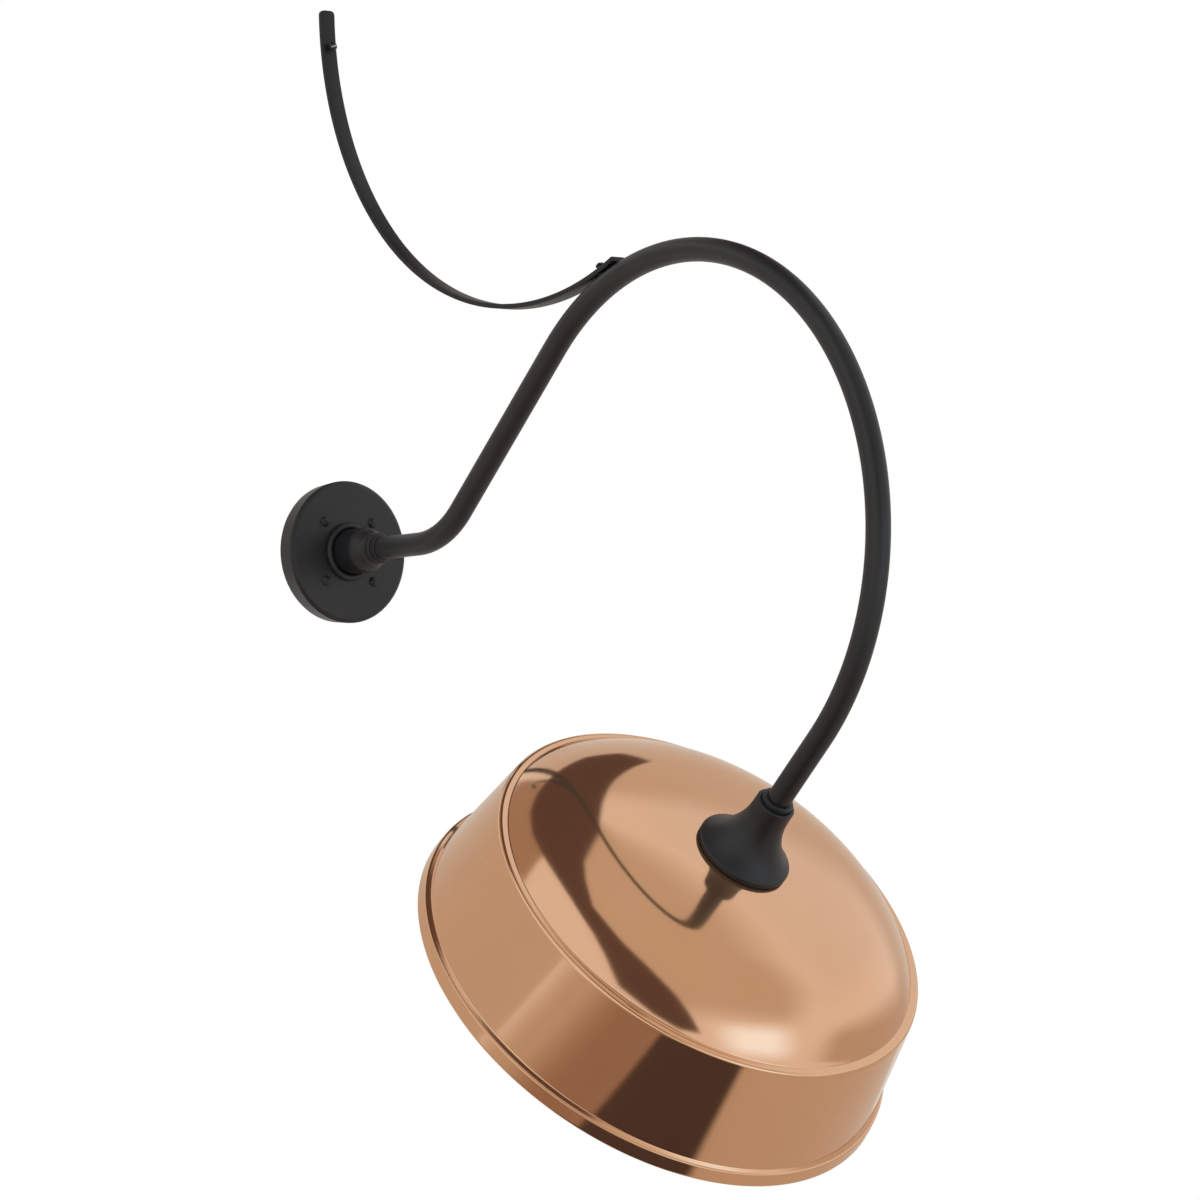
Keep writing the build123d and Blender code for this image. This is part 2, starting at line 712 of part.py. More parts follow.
# ---- neck fasteners and seal -----------------------------------------------------------------------------
neck_set_screw = set_screw(neck_set_screw_hole.offset(turning_bore_r + thread_gap), neck_set_screw_length)
write(neck_set_screw, "neck_set_screw")
neck_gasket = ring(
    neck_frame.offset(seat_height), neck_gasket_outer_r, neck_gasket_inner_r, neck_gasket_thickness
)
write(neck_gasket, "neck_gasket")
with BuildPart() as neck_collar:
    with BuildSketch(neck_frame.offset(recess_floor + free_gap)):
        Circle(neck_collar_r)
        Circle(collar_bore_r, mode=Mode.SUBTRACT)
    extrude(amount=neck_collar_height)
    collar_top = neck_collar.faces().sort_by(neck_axis)[-1]
    fillet(collar_top.edges().sort_by(SortBy.LENGTH)[-1], neck_collar_edge)
write(neck_collar.part, "neck_collar")

# ---- nipple in the tube's end, with the washer and nuts that carry the shade and the lamp holder ----------
arm_nipple = ring(
    neck_frame.offset(nipple_end), nipple_r, nipple_bore_r, tube_end + nipple_in_tube - nipple_end
)
write(arm_nipple, "arm_nipple")
neck_washer = ring(
    neck_frame.offset(washer_top - neck_washer_thickness),
    neck_washer_r,
    nipple_r + hole_gap,
    neck_washer_thickness,
)
write(neck_washer, "neck_washer")
with BuildPart() as neck_locknuts:
    for nut_base in (cup_top, nipple_end):
        with BuildSketch(neck_frame.offset(nut_base)):
            RegularPolygon(neck_nut_flats / 2, 6, major_radius=False)
            Circle(nipple_r + thread_gap, mode=Mode.SUBTRACT)
        extrude(amount=neck_nut_height)
write(neck_locknuts.part, "neck_locknuts")

# ---- lamp holder cup, with a hole on each side for the porcelain's screws ------------------------------------
cup_screw_origin = neck_frame.origin + neck_up * cup_screw_height
cup_screw_plane = Plane(origin=cup_screw_origin, x_dir=neck_up, z_dir=(1, 0, 0))
with BuildPart() as socket_cup:
    with BuildSketch(neck_frame.offset(cup_top)):
        Circle(cup_r)
    extrude(amount=-cup_height)
    with BuildSketch(neck_frame.offset(cup_top - cup_wall)):
        Circle(cup_r - cup_wall)
    extrude(amount=-cup_height, mode=Mode.SUBTRACT)
    with BuildSketch(neck_frame.offset(cup_top)):
        Circle(nipple_r + hole_gap)
    extrude(amount=-cup_wall, mode=Mode.SUBTRACT)
    with BuildSketch(cup_screw_plane):
        Circle(cup_screw_r + hole_gap)
    extrude(amount=cup_r, both=True, mode=Mode.SUBTRACT)
write(socket_cup.part, "socket_cup")

# ---- porcelain: bored for the screw shell, drilled for the two leads --------------------------------------------
with BuildPart() as socket_body:
    with BuildSketch(neck_frame.offset(porcelain_bottom)):
        Circle(porcelain_r)
    extrude(amount=porcelain_height)
    fillet(socket_body.faces().sort_by(neck_axis)[0].edges(), porcelain_edge)
    with BuildSketch(neck_frame.offset(porcelain_bottom)):
        Circle(shell_r + slip_gap)
    extrude(amount=shell_top - porcelain_bottom, mode=Mode.SUBTRACT)
    with BuildSketch(neck_frame.offset(shell_top)):
        with Locations((0, 0), (lead_spacing, 0)):
            Circle(lead_r + lead_hole_gap)
    extrude(amount=porcelain_height, mode=Mode.SUBTRACT)
    for side in (1, -1):
        with BuildSketch(cup_screw_plane.offset(side * porcelain_r)):
            Circle(cup_screw_r + thread_gap)
        extrude(amount=-side * cup_screw_length, mode=Mode.SUBTRACT)
write(socket_body.part, "socket_body")

# ---- screws through the cup into the porcelain -----------------------------------------------------------------------
with BuildPart() as socket_screws:
    for side in (1, -1):
        seat_plane = Plane(
            origin=cup_screw_origin + Vector(side * cup_r, 0, 0), x_dir=neck_up, z_dir=(side, 0, 0)
        )
        add(
            slotted_screw(
                seat_plane, cup_screw_r, cup_screw_length, cup_screw_head_r, cup_screw_head_height
            )
        )
write(socket_screws.part, "socket_screws")

# ---- screw shell and centre contact -----------------------------------------------------------------------------------
with BuildPart() as socket_shell:
    with BuildSketch(neck_frame.offset(shell_top)):
        Circle(shell_r)
    extrude(amount=-shell_length)
    with BuildSketch(neck_frame.offset(shell_top - shell_wall)):
        Circle(shell_bore_r)
    extrude(amount=-shell_length, mode=Mode.SUBTRACT)
    with BuildSketch(neck_frame.offset(shell_top)):
        Circle(shell_eye_r)
    extrude(amount=-shell_wall, mode=Mode.SUBTRACT)
write(socket_shell.part, "socket_shell")
with BuildPart() as socket_contact:
    with BuildSketch(neck_frame.offset(shell_top)):
        Circle(contact_r)
    extrude(amount=-contact_thickness)
write(socket_contact.part, "socket_contact")

# ---- leads: side by side in the tube, from the wall to the contact, the shell and the cup --------------------------------
for name, aside in (("live_lead", 0.0), ("neutral_lead", lead_spacing)):
    with BuildPart() as lead:
        with BuildSketch(off_wall(0)):
            with Locations((aside, 0)):
                Circle(lead_r)
        sweep(path=tube_route(0.0, shell_top, aside))
    write(lead.part, name)

ground_route = tube_route(0.0, porcelain_top + cup_room / 2 + ground_bend_r, -lead_spacing)
ground_reach = sqrt((cup_r - cup_wall) ** 2 - (lead_spacing + ground_lead_r) ** 2) - free_gap
with BuildPart() as ground_lead:
    with BuildLine(arm_plane.offset(lead_spacing)) as ground_path:
        add(ground_route)
        turn = JernArc(ground_route @ 1, ground_route % 1, ground_bend_r, 90)
        Line(turn @ 1, (turn @ 1) + (turn % 1) * (ground_reach - ground_bend_r))
    with BuildSketch(off_wall(0)):
        with Locations((-lead_spacing, 0)):
            Circle(ground_lead_r)
    sweep(path=ground_path.line)
write(ground_lead.part, "ground_lead")
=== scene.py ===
from math import asin, atan2, ceil, cos, degrees, hypot, pi, radians, sin, sqrt, tan

import bmesh
import bpy
from mathutils import Matrix, Vector


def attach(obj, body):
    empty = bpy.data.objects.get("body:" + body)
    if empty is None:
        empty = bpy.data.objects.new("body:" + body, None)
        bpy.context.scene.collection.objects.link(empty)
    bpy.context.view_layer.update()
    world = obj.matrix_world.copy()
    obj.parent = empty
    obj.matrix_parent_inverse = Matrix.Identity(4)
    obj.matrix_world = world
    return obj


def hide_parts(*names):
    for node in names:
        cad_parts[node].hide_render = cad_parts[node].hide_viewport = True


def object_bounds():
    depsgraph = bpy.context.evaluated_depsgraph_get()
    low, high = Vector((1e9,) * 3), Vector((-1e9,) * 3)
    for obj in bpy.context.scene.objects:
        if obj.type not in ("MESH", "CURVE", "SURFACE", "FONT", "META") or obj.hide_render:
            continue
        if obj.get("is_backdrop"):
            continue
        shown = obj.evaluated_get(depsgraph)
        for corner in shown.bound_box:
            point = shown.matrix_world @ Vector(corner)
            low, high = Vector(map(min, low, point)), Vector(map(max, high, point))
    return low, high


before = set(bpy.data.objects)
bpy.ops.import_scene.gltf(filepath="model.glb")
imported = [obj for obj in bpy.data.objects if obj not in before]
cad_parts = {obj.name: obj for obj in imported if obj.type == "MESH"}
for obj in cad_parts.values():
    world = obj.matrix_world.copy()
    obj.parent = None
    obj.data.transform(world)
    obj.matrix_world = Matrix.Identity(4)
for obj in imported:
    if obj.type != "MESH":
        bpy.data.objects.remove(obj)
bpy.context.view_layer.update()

# ---- camera -------------------------------------------------------------------------------------
# A long lens 4.4 m off, to the left of the light and a little below the wall canopy.


def added(name, data):
    """A new object for its data, in the scene."""
    made = bpy.data.objects.new(name, data)
    bpy.context.scene.collection.objects.link(made)
    return made


view_azimuth, view_elevation, view_roll = radians(-39.526), radians(-3.321), radians(-1.32)
camera_place = Matrix.Translation((-2.5927, -3.5113, -0.3001))
view_back = Vector((
    sin(view_azimuth) * cos(view_elevation), -cos(view_azimuth) * cos(view_elevation), sin(view_elevation),
))
level_right = Vector((cos(view_azimuth), sin(view_azimuth), 0))
level_up = view_back.cross(level_right)
view_right = cos(view_roll) * level_right + sin(view_roll) * level_up
view_up = view_back.cross(view_right)
camera = added("camera", bpy.data.cameras.new("camera"))
camera.matrix_world = camera_place @ Matrix((view_right, view_up, view_back)).transposed().to_4x4()
camera.data.lens, camera.data.sensor_width, camera.data.clip_end = 146.72, 36, 60
bpy.context.scene.camera = camera
bpy.context.scene.view_settings.view_transform = "Standard"

# ---- studio: floor, white surroundings, soft lamps and cards ------------------------------------
# The floor is pale under the light and runs out to plain white. The cards are what polished
# copper needs to look at: they show in its reflections only.


def wire(tree, node, sockets):
    """Sets inputs of a node. A value may be a link: a node's output, or a node for its first output."""
    for name, value in sockets.items():
        if isinstance(value, bpy.types.Node):
            value = value.outputs[0]
        if isinstance(value, bpy.types.NodeSocket):
            tree.links.new(value, node.inputs[name])
        else:
            node.inputs[name].default_value = value


def put(tree, kind, sockets={}, **options):
    """Adds a node with its options and its inputs."""
    made = tree.nodes.new(kind)
    for name, value in options.items():
        setattr(made, name, value)
    wire(tree, made, sockets)
    return made


def math_node(tree, operation, *values, **options):
    """Adds a Math node."""
    return put(tree, "ShaderNodeMath", dict(enumerate(values)), operation=operation, **options)


def seen_ray(tree):
    """1 for the rays that show the surroundings: straight, mirrored or through glass."""
    ray = put(tree, "ShaderNodeLightPath").outputs
    mirrored = math_node(tree, "ADD", ray["Is Camera Ray"], ray["Is Glossy Ray"])
    return math_node(tree, "ADD", mirrored, ray["Is Transmission Ray"], use_clamp=True)


def bare_tree(holder):
    """The emptied node tree of a new material or world."""
    holder.use_nodes = True
    holder.node_tree.nodes.clear()
    return holder.node_tree


floor_r, floor_sides, floor_height = 5.0, 48, -0.74
floor_middle, floor_pale_r, floor_white_r = (0, 0.35, -floor_height), 0.55, 1.7
floor_turns = [2 * pi * k / floor_sides for k in range(floor_sides)]
mesh = bpy.data.meshes.new("floor")
mesh.from_pydata(
    [
        (floor_r * cos(a), floor_r * sin(a), floor_height) for a in floor_turns
    ], [], [tuple(range(floor_sides))],
)
floor = added("floor", mesh)
floor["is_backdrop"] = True
floor_paint = bpy.data.materials.new("floor_paint")
floor.data.materials.append(floor_paint)
tree = bare_tree(floor_paint)
surface = put(tree, "ShaderNodeNewGeometry").outputs
place = put(tree, "ShaderNodeVectorMath", {0: surface["Position"], 1: floor_middle}, operation="ADD")
away = put(tree, "ShaderNodeVectorMath", {0: place}, operation="LENGTH").outputs["Value"]
fade_ends = {"Value": away, "From Min": floor_pale_r, "From Max": floor_white_r}
fade = put(tree, "ShaderNodeMapRange", fade_ends, interpolation_type="SMOOTHSTEP")
share = math_node(tree, "MULTIPLY", fade, seen_ray(tree))
pale = put(tree, "ShaderNodeBsdfDiffuse", {"Color": (0.86, 0.86, 0.86, 1)})
white = put(tree, "ShaderNodeEmission", {"Strength": 1.0})
both = put(tree, "ShaderNodeMixShader", {0: share, 1: pale, 2: white})
# from underneath, the floor doesn't hide the light
camera_ray = put(tree, "ShaderNodeLightPath").outputs["Is Camera Ray"]
below = math_node(tree, "MULTIPLY", surface["Backfacing"], camera_ray)
clear = put(tree, "ShaderNodeBsdfTransparent")
one_sided = put(tree, "ShaderNodeMixShader", {0: below, 1: both, 2: clear})
put(tree, "ShaderNodeOutputMaterial", {"Surface": one_sided})

# the world: a soft room for the light itself, and plain white where it is seen
world = bpy.data.worlds.new("studio")
tree = bare_tree(world)
room = put(tree, "ShaderNodeBackground", {"Color": (1, 1, 1, 1), "Strength": 0.62})
backdrop = put(tree, "ShaderNodeBackground", {"Color": (1, 1, 1, 1), "Strength": 1.0})
surroundings = put(tree, "ShaderNodeMixShader", {0: seen_ray(tree), 1: room, 2: backdrop})
put(tree, "ShaderNodeOutputWorld", {"Surface": surroundings})
bpy.context.scene.world = world

lamps_aim = Vector((0, -0.4, -0.1))
for name, spot, size, power in (
    ("key_lamp", (-2.6, -1.6, 2.4), 1.8, 42),
    ("fill_lamp", (2.4, -2.6, 1.2), 2.2, 18),
):
    lamp = added(name, bpy.data.lights.new(name, "AREA"))
    lamp.data.size, lamp.data.energy = size, power
    lamp.location = spot
    lamp.rotation_euler = (lamps_aim - Vector(spot)).to_track_quat("-Z", "Y").to_euler()
    lamp.visible_camera = lamp.visible_glossy = False


def new_group(name, inputs, outputs):
    """A shader node group with float or vector sockets, its input node and its output node."""
    group = bpy.data.node_groups.new(name, "ShaderNodeTree")
    for socket, value in inputs:
        kind = "NodeSocketVector" if value is None else "NodeSocketFloat"
        made = group.interface.new_socket(socket, in_out="INPUT", socket_type=kind)
        if value is not None:
            made.default_value = value
    for socket in outputs:
        group.interface.new_socket(socket, in_out="OUTPUT", socket_type="NodeSocketFloat")
    return group, group.nodes.new("NodeGroupInput"), group.nodes.new("NodeGroupOutput")


# soft edge: 1 in the middle of a card, fading out towards its sides and its ends
soft_edge, given, result = new_group("soft_edge", [("Side", 0.0), ("End", 0.0)], ["Mask"])
way = put(soft_edge, "ShaderNodeSeparateXYZ", {0: put(soft_edge, "ShaderNodeTexCoord").outputs["UV"]})
masks = []
for axis, width in (("X", "Side"), ("Y", "End")):
    off_middle = math_node(soft_edge, "SUBTRACT", way.outputs[axis], 0.5)
    to_edge = math_node(soft_edge, "SUBTRACT", 0.5, math_node(soft_edge, "ABSOLUTE", off_middle))
    fade_ends = {"Value": to_edge, "From Max": given.outputs[width]}
    masks.append(put(soft_edge, "ShaderNodeMapRange", fade_ends, interpolation_type="SMOOTHSTEP"))
wire(soft_edge, result, {"Mask": math_node(soft_edge, "MULTIPLY", *masks)})


def show_in_reflections(name, points, faces, uvs, tone, side, end):
    """A studio card of one tone, seen in reflections only. Its edges fade over a share of its width
    at its sides and of its height at its ends."""
    mesh = bpy.data.meshes.new(name)
    mesh.from_pydata(points, [], faces)
    layer = mesh.uv_layers.new(name="card")
    for loop in mesh.loops:
        layer.data[loop.index].uv = uvs[loop.vertex_index]
    sheet = added(name, mesh)
    sheet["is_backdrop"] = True
    glow = bpy.data.materials.new(name)
    tree = bare_tree(glow)
    mask = put(tree, "ShaderNodeGroup", {"Side": side, "End": end}, node_tree=soft_edge)
    light = put(tree, "ShaderNodeEmission", {"Color": (*tone, 1), "Strength": 1.0})
    clear = put(tree, "ShaderNodeBsdfTransparent")
    both = put(tree, "ShaderNodeMixShader", {0: mask, 1: clear, 2: light})
    put(tree, "ShaderNodeOutputMaterial", {"Surface": both})
    sheet.data.materials.append(glow)
    for ray in ("camera", "diffuse", "shadow", "transmission", "volume_scatter"):
        setattr(sheet, "visible_" + ray, False)


def grid_faces(rows, columns):
    """The faces of a grid of points."""
    corners = [i * columns + k for i in range(rows - 1) for k in range(columns - 1)]
    return [(c, c + 1, c + columns + 1, c + columns) for c in corners]


def toward(turn, height):
    """A direction from the shade, in degrees: 0 is straight out of the wall, and height is upwards."""
    turn, height = radians(turn), radians(height)
    return Vector((sin(turn) * cos(height), -cos(turn) * cos(height), sin(height)))


cards_middle = Vector((0, -0.45, -0.3))


def bowed_card(name, tone, rows, side, end, distance):
    """A card round the shade, bowed like a part of a ball. Each row has its two ends as directions."""
    columns, steps = 25, 5
    points, uvs = [], []
    for i, (low, high) in enumerate(zip(rows, rows[1:])):
        for step in range(steps if i + 2 < len(rows) else steps + 1):
            share = step / steps
            left, right = (toward(*low[e]).slerp(toward(*high[e]), share) for e in (0, 1))
            for across in (k / (columns - 1) for k in range(columns)):
                points.append(cards_middle + left.slerp(right, across) * distance)
                uvs.append((across, (i + share) / (len(rows) - 1)))
    show_in_reflections(name, points, grid_faces(len(points) // columns, columns), uvs, tone, side, end)


def floor_card(name, tone, left, right, near, far, height, side, end):
    """A card that lies over the floor."""
    points = [(x, y, height) for y in (near, far) for x in (left, right)]
    show_in_reflections(name, points, grid_faces(2, 2), [(0, 0), (1, 0), (0, 1), (1, 1)], tone, side, end)


# overhead and at the back: the dark flag that draws the band over the dome
bowed_card("tall_dark_card", (0.095, 0.05, 0.04), [
    ((-18, 0), (-10, -1)), ((-29, 7), (-11, 9)), ((-41, 18), (-13, 19)), ((-43, 33), (-20, 32)),
    ((-46, 42), (-28, 42)), ((-58, 56), (-39, 56)), ((-75, 64), (-37, 68)), ((-96, 68), (-28, 76)),
    ((-131, 69), (14, 80)), ((-163, 66), (58, 77)), ((175, 62), (96, 71)), ((154, 54), (110, 63)),
    ((143, 47), (115, 55)), ((131, 44), (118, 48)),
], side=0.07, end=0.02, distance=2.2)
bowed_card("high_back_card", (0.45, 0.34, 0.26), [
    ((-95, 44), (-88, 84)), ((-130, 46), (-130, 84)), ((-160, 46), (170, 84)), ((165, 40), (120, 80)),
], side=0.2, end=0.06, distance=2.3)
# in front and to the right: the silks that give the dome its pale tones, and its bright spot
bowed_card("front_silk", (0.72, 0.645, 0.56), [
    ((-34, 4), (34, 4)), ((-42, 22), (50, 22)), ((-50, 45), (62, 45)), ((-70, 64), (75, 64)),
    ((-95, 80), (95, 80)),
], side=0.2, end=0.16, distance=2.5)
bowed_card("right_silk", (0.93, 0.94, 0.95), [
    ((40, 10), (112, 10)), ((48, 30), (112, 30)), ((60, 50), (112, 50)), ((78, 68), (112, 66)),
], side=0.2, end=0.25, distance=2.46)
bowed_card("right_low_card", (0.64, 0.56, 0.48), [
    ((28, -24), (105, -24)), ((32, -6), (112, -6)), ((42, 8), (112, 8)),
], side=0.2, end=0.3, distance=2.38)
bowed_card("bright_card", (1.35, 1.75, 2.2), [
    ((-7, -12), (30, -12)), ((-9, 0), (34, -1)), ((-6, 11), (34, 12)),
], side=0.4, end=0.4, distance=2.36)
# towards the wall: what the skirt's sides and back look at
bowed_card("wall_card", (0.68, 0.61, 0.53), [
    ((150, -24), (210, -24)), ((146, 5), (205, 5)), ((142, 36), (200, 36)),
], side=0.1, end=0.15, distance=2.4)
bowed_card("wall_side_card", (0.70, 0.63, 0.55), [
    ((200, -24), (276, -24)), ((198, 5), (272, 5)), ((192, 36), (262, 36)),
], side=0.06, end=0.15, distance=2.42)
bowed_card("right_back_card", (0.73, 0.67, 0.60), [
    ((78, -26), (160, -26)), ((86, 0), (165, 0)), ((88, 24), (168, 24)), ((90, 50), (165, 50)),
    ((92, 70), (160, 70)),
], side=0.2, end=0.15, distance=2.44)
# on the floor: the dark patch that the skirt shows, its brown side, and the floor's own tone
for name, tone, left, right, near, far, height, side, end in (
    ("low_dark_card", (0.05, 0.028, 0.023), -0.395, -0.045, -1.2, -0.35, -0.734, 0.08, 0.03),
    ("low_brown_card", (0.37, 0.25, 0.185), -1.10, 0.05, -1.3, -0.2, -0.736, 0.45, 0.05),
    ("floor_silk", (0.66, 0.57, 0.48), -2.4, 2.4, -1.9, 0.9, -0.738, 0.25, 0.1),
):
    floor_card(name, tone, left, right, near, far, height, side, end)

# ---- mounting plate, its spacers and the ground screw -------------------------------------------
# A pressed steel plate on the wall box, zinc plated, with four tapped spacers staked into it for
# the canopy's screws and a green screw for the ground lead.

# handling: cloudy rubbed patches, as fingers and packing leave on any metal
handling, given, result = new_group("handling", [("Place", None), ("Size", 0.05)], ["Rub"])
per_metre = math_node(handling, "DIVIDE", 1.0, given.outputs["Size"])
cloud = put(handling, "ShaderNodeTexNoise", {
    "Vector": given.outputs["Place"], "Scale": per_metre, "Detail": 5, "Roughness": 0.62,
})
rub = put(handling, "ShaderNodeMapRange", {"Value": cloud, "From Min": 0.34, "From Max": 0.68})
wire(handling, result, {"Rub": rub})


def new_finish(name):
    """A new material, its tree, its Principled node and the place on the piece."""
    made = bpy.data.materials.new(name)
    made.use_nodes = True
    tree = made.node_tree
    return made, tree, tree.nodes["Principled BSDF"], put(tree, "ShaderNodeTexCoord").outputs["Object"]


def handled(tree, place, size):
    """Handled patches of a size in metres."""
    return put(tree, "ShaderNodeGroup", {"Place": place, "Size": size}, node_tree=handling)


def between(tree, mask, low, high):
    """A colour from low to high as the mask goes from 0 to 1."""
    return put(tree, "ShaderNodeMix", {0: mask, 6: (*low, 1), 7: (*high, 1)}, data_type="RGBA").outputs[2]


def ranging(tree, mask, low, high):
    """A value from low to high as the mask goes from 0 to 1."""
    return put(tree, "ShaderNodeMapRange", {"Value": mask, "To Min": low, "To Max": high})


def relief(tree, height, strength, distance, **options):
    """A bumpy surface, as deep as a distance in metres."""
    return put(
        tree, "ShaderNodeBump", {"Height": height, "Strength": strength, "Distance": distance}, **options
    )


def dress(finish, *names):
    """Gives CAD nodes their finish."""
    for name in names:
        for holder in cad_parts[name].material_slots:
            holder.material = finish


zinc_steel, tree, shader, place = new_finish("zinc_steel")
patches = handled(tree, place, 0.009)
crystals = put(tree, "ShaderNodeTexVoronoi", {"Vector": place, "Scale": 900}, feature="F1")
wire(tree, shader, {
    "Metallic": 1,
    "Base Color": between(tree, patches, (0.50, 0.51, 0.52), (0.66, 0.66, 0.64)),
    "Roughness": ranging(tree, patches, 0.26, 0.42),
    "Normal": relief(tree, crystals.outputs["Distance"], 0.12, 0.0002),
})
dress(zinc_steel, "mounting_plate", "canopy_spacers")

green_steel, tree, shader, place = new_finish("green_steel")
patches = handled(tree, place, 0.003)
wire(tree, shader, {
    "Metallic": 0.85,
    "Base Color": between(tree, patches, (0.03, 0.22, 0.08), (0.06, 0.36, 0.15)),
    "Roughness": 0.34,
})
dress(green_steel, "ground_screw")

# ---- gaskets ------------------------------------------------------------------------------------
# Closed-cell black foam, cut as rings: one is pressed between the wall and the canopy's edge, a
# thinner one between the neck cap and the shade.
foam_rubber, tree, shader, place = new_finish("foam_rubber")
cells = put(tree, "ShaderNodeTexVoronoi", {"Vector": place, "Scale": 1600}, feature="DISTANCE_TO_EDGE")
cell_walls = put(tree, "ShaderNodeMapRange", {"Value": cells.outputs["Distance"], "From Max": 0.2})
wire(tree, shader, {
    "Base Color": between(tree, cell_walls, (0.055, 0.055, 0.055), (0.03, 0.03, 0.03)),
    "Roughness": 0.85,
    "Normal": relief(tree, cell_walls, 0.6, 0.0002, invert=True),
})
dress(foam_rubber, "canopy_gasket", "neck_gasket")

# ---- wall canopy --------------------------------------------------------------------------------
# A cast aluminium cover, turned on its face and side, powder coated satin black. Its flat face has
# a rounded front edge, and its side narrows towards the wall.
mm = 0.001
out_of_wall = Matrix(((1, 0, 0, 0), (0, 0, -1, 0), (0, 1, 0, 0), (0, 0, 0, 1)))


def arc(centre, radius, start, end, step=3.0):
    """Points of an outline's arc, by angle in degrees."""
    count = max(2, ceil(abs(end - start) / step))
    angles = (radians(start + (end - start) * k / count) for k in range(count + 1))
    return [(centre[0] + radius * cos(a), centre[1] + radius * sin(a)) for a in angles]


def rounded(corners, closed=True):
    """An outline of (radius, height) points from corners that may have a fillet as a third value."""
    outline = []
    for i, corner in enumerate(corners):
        here = Vector(corner[:2])
        if len(corner) == 2 or (not closed and i in (0, len(corners) - 1)):
            outline.append(tuple(here))
            continue
        to_last = (Vector(corners[i - 1][:2]) - here).normalized()
        to_next = (Vector(corners[(i + 1) % len(corners)][:2]) - here).normalized()
        half = to_last.angle(to_next) / 2
        centre = here + (to_last + to_next).normalized() * corner[2] / sin(half)
        first, last = (here + way * corner[2] / tan(half) - centre for way in (to_last, to_next))
        start = atan2(first.y, first.x)
        turn = (atan2(last.y, last.x) - start + pi) % (2 * pi) - pi
        count = max(3, ceil(abs(turn) / radians(10)))
        outline += [
            tuple(centre + corner[2] * Vector((cos(start + turn * k / count), sin(start + turn * k / count))))
            for k in range(count + 1)
        ]
    return outline


def turned(name, outline, place, steps=96, closed=True, longest=12.0, sharp=35):
    """A mesh turned about the z axis of place from an outline in millimetres. Long runs get rings near
    their ends and between, so that their shading stays flat. The UV is the turn and the way along."""
    long_run, near_end, on_axis = 2.5, 0.3, 1e-6
    rings = []
    for i, (r, h) in enumerate(outline):
        rings.append((r, h))
        if i + 1 == len(outline) and not closed:
            break
        next_r, next_h = outline[(i + 1) % len(outline)]
        run = hypot(next_r - r, next_h - h)
        if run > long_run:
            count = ceil((run - 2 * near_end) / longest)
            shares = [near_end / run + (1 - 2 * near_end / run) * k / count for k in range(count + 1)]
            rings += [(r + (next_r - r) * t, h + (next_h - h) * t) for t in shares]
    angles = [2 * pi * k / steps for k in range(steps)]
    points, first, faces = [], [], []
    for r, h in rings:
        first.append(len(points))
        if r < on_axis:
            points.append(place @ Vector((0, 0, h * mm)))
        else:
            points += [place @ Vector((r * mm * cos(a), r * mm * sin(a), h * mm)) for a in angles]
    along, uvs = [0.0], []
    for i in range(len(rings)):
        j = (i + 1) % len(rings)
        along.append(along[-1] + hypot(rings[j][0] - rings[i][0], rings[j][1] - rings[i][1]) * mm)
    for i in range(len(rings) if closed else len(rings) - 1):
        j = (i + 1) % len(rings)
        for k in range(steps):
            after, here, there = (k + 1) % steps, k / steps, (k + 1) / steps
            low = [first[i]] if rings[i][0] < on_axis else [first[i] + k, first[i] + after]
            high = [first[j]] if rings[j][0] < on_axis else [first[j] + after, first[j] + k]
            if len(low) + len(high) < 3:
                continue
            faces.append(low + high)
            uvs += [(t, along[i]) for t in (here, there)[:len(low)]]
            uvs += [(t, along[i + 1]) for t in (there, here)[-len(high):]]
    mesh = bpy.data.meshes.new(name)
    mesh.from_pydata(points, [], faces)
    layer = mesh.uv_layers.new(name="turned")
    for loop, uv in zip(layer.data, uvs):
        loop.uv = uv
    return smooth_piece(name, mesh, sharp)


def smooth_faces(mesh, sharp=35):
    """Shades a mesh smooth up to an edge angle."""
    mesh.shade_smooth()
    mesh.set_sharp_from_angle(angle=radians(sharp))


def smooth_piece(name, mesh, sharp=35):
    """An object for a closed mesh, with faces turned outwards, shaded smooth up to an edge angle."""
    merge_distance = 1e-7
    shell = bmesh.new()
    shell.from_mesh(mesh)
    bmesh.ops.remove_doubles(shell, verts=shell.verts, dist=merge_distance)
    bmesh.ops.recalc_face_normals(shell, faces=shell.faces)
    shell.to_mesh(mesh)
    shell.free()
    smooth_faces(mesh, sharp)
    return added(name, mesh)


def plain_mesh(piece):
    """Turns what a piece's modifiers or curve give into its mesh, and removes the modifiers."""
    bpy.context.view_layer.update()
    mesh = bpy.data.meshes.new_from_object(piece.evaluated_get(bpy.context.evaluated_depsgraph_get()))
    if piece.type == "MESH":
        piece.modifiers.clear()
        piece.data = mesh
        return piece
    name = piece.name
    solid = added(name + "_solid", mesh)
    bpy.data.objects.remove(piece)
    solid.name = name
    return solid


def fitted(piece, body, node, slot, *finishes):
    """A finished piece takes its node's place on a body."""
    for finish in finishes:
        piece.data.materials.append(finish)
    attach(piece, body)
    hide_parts(node)


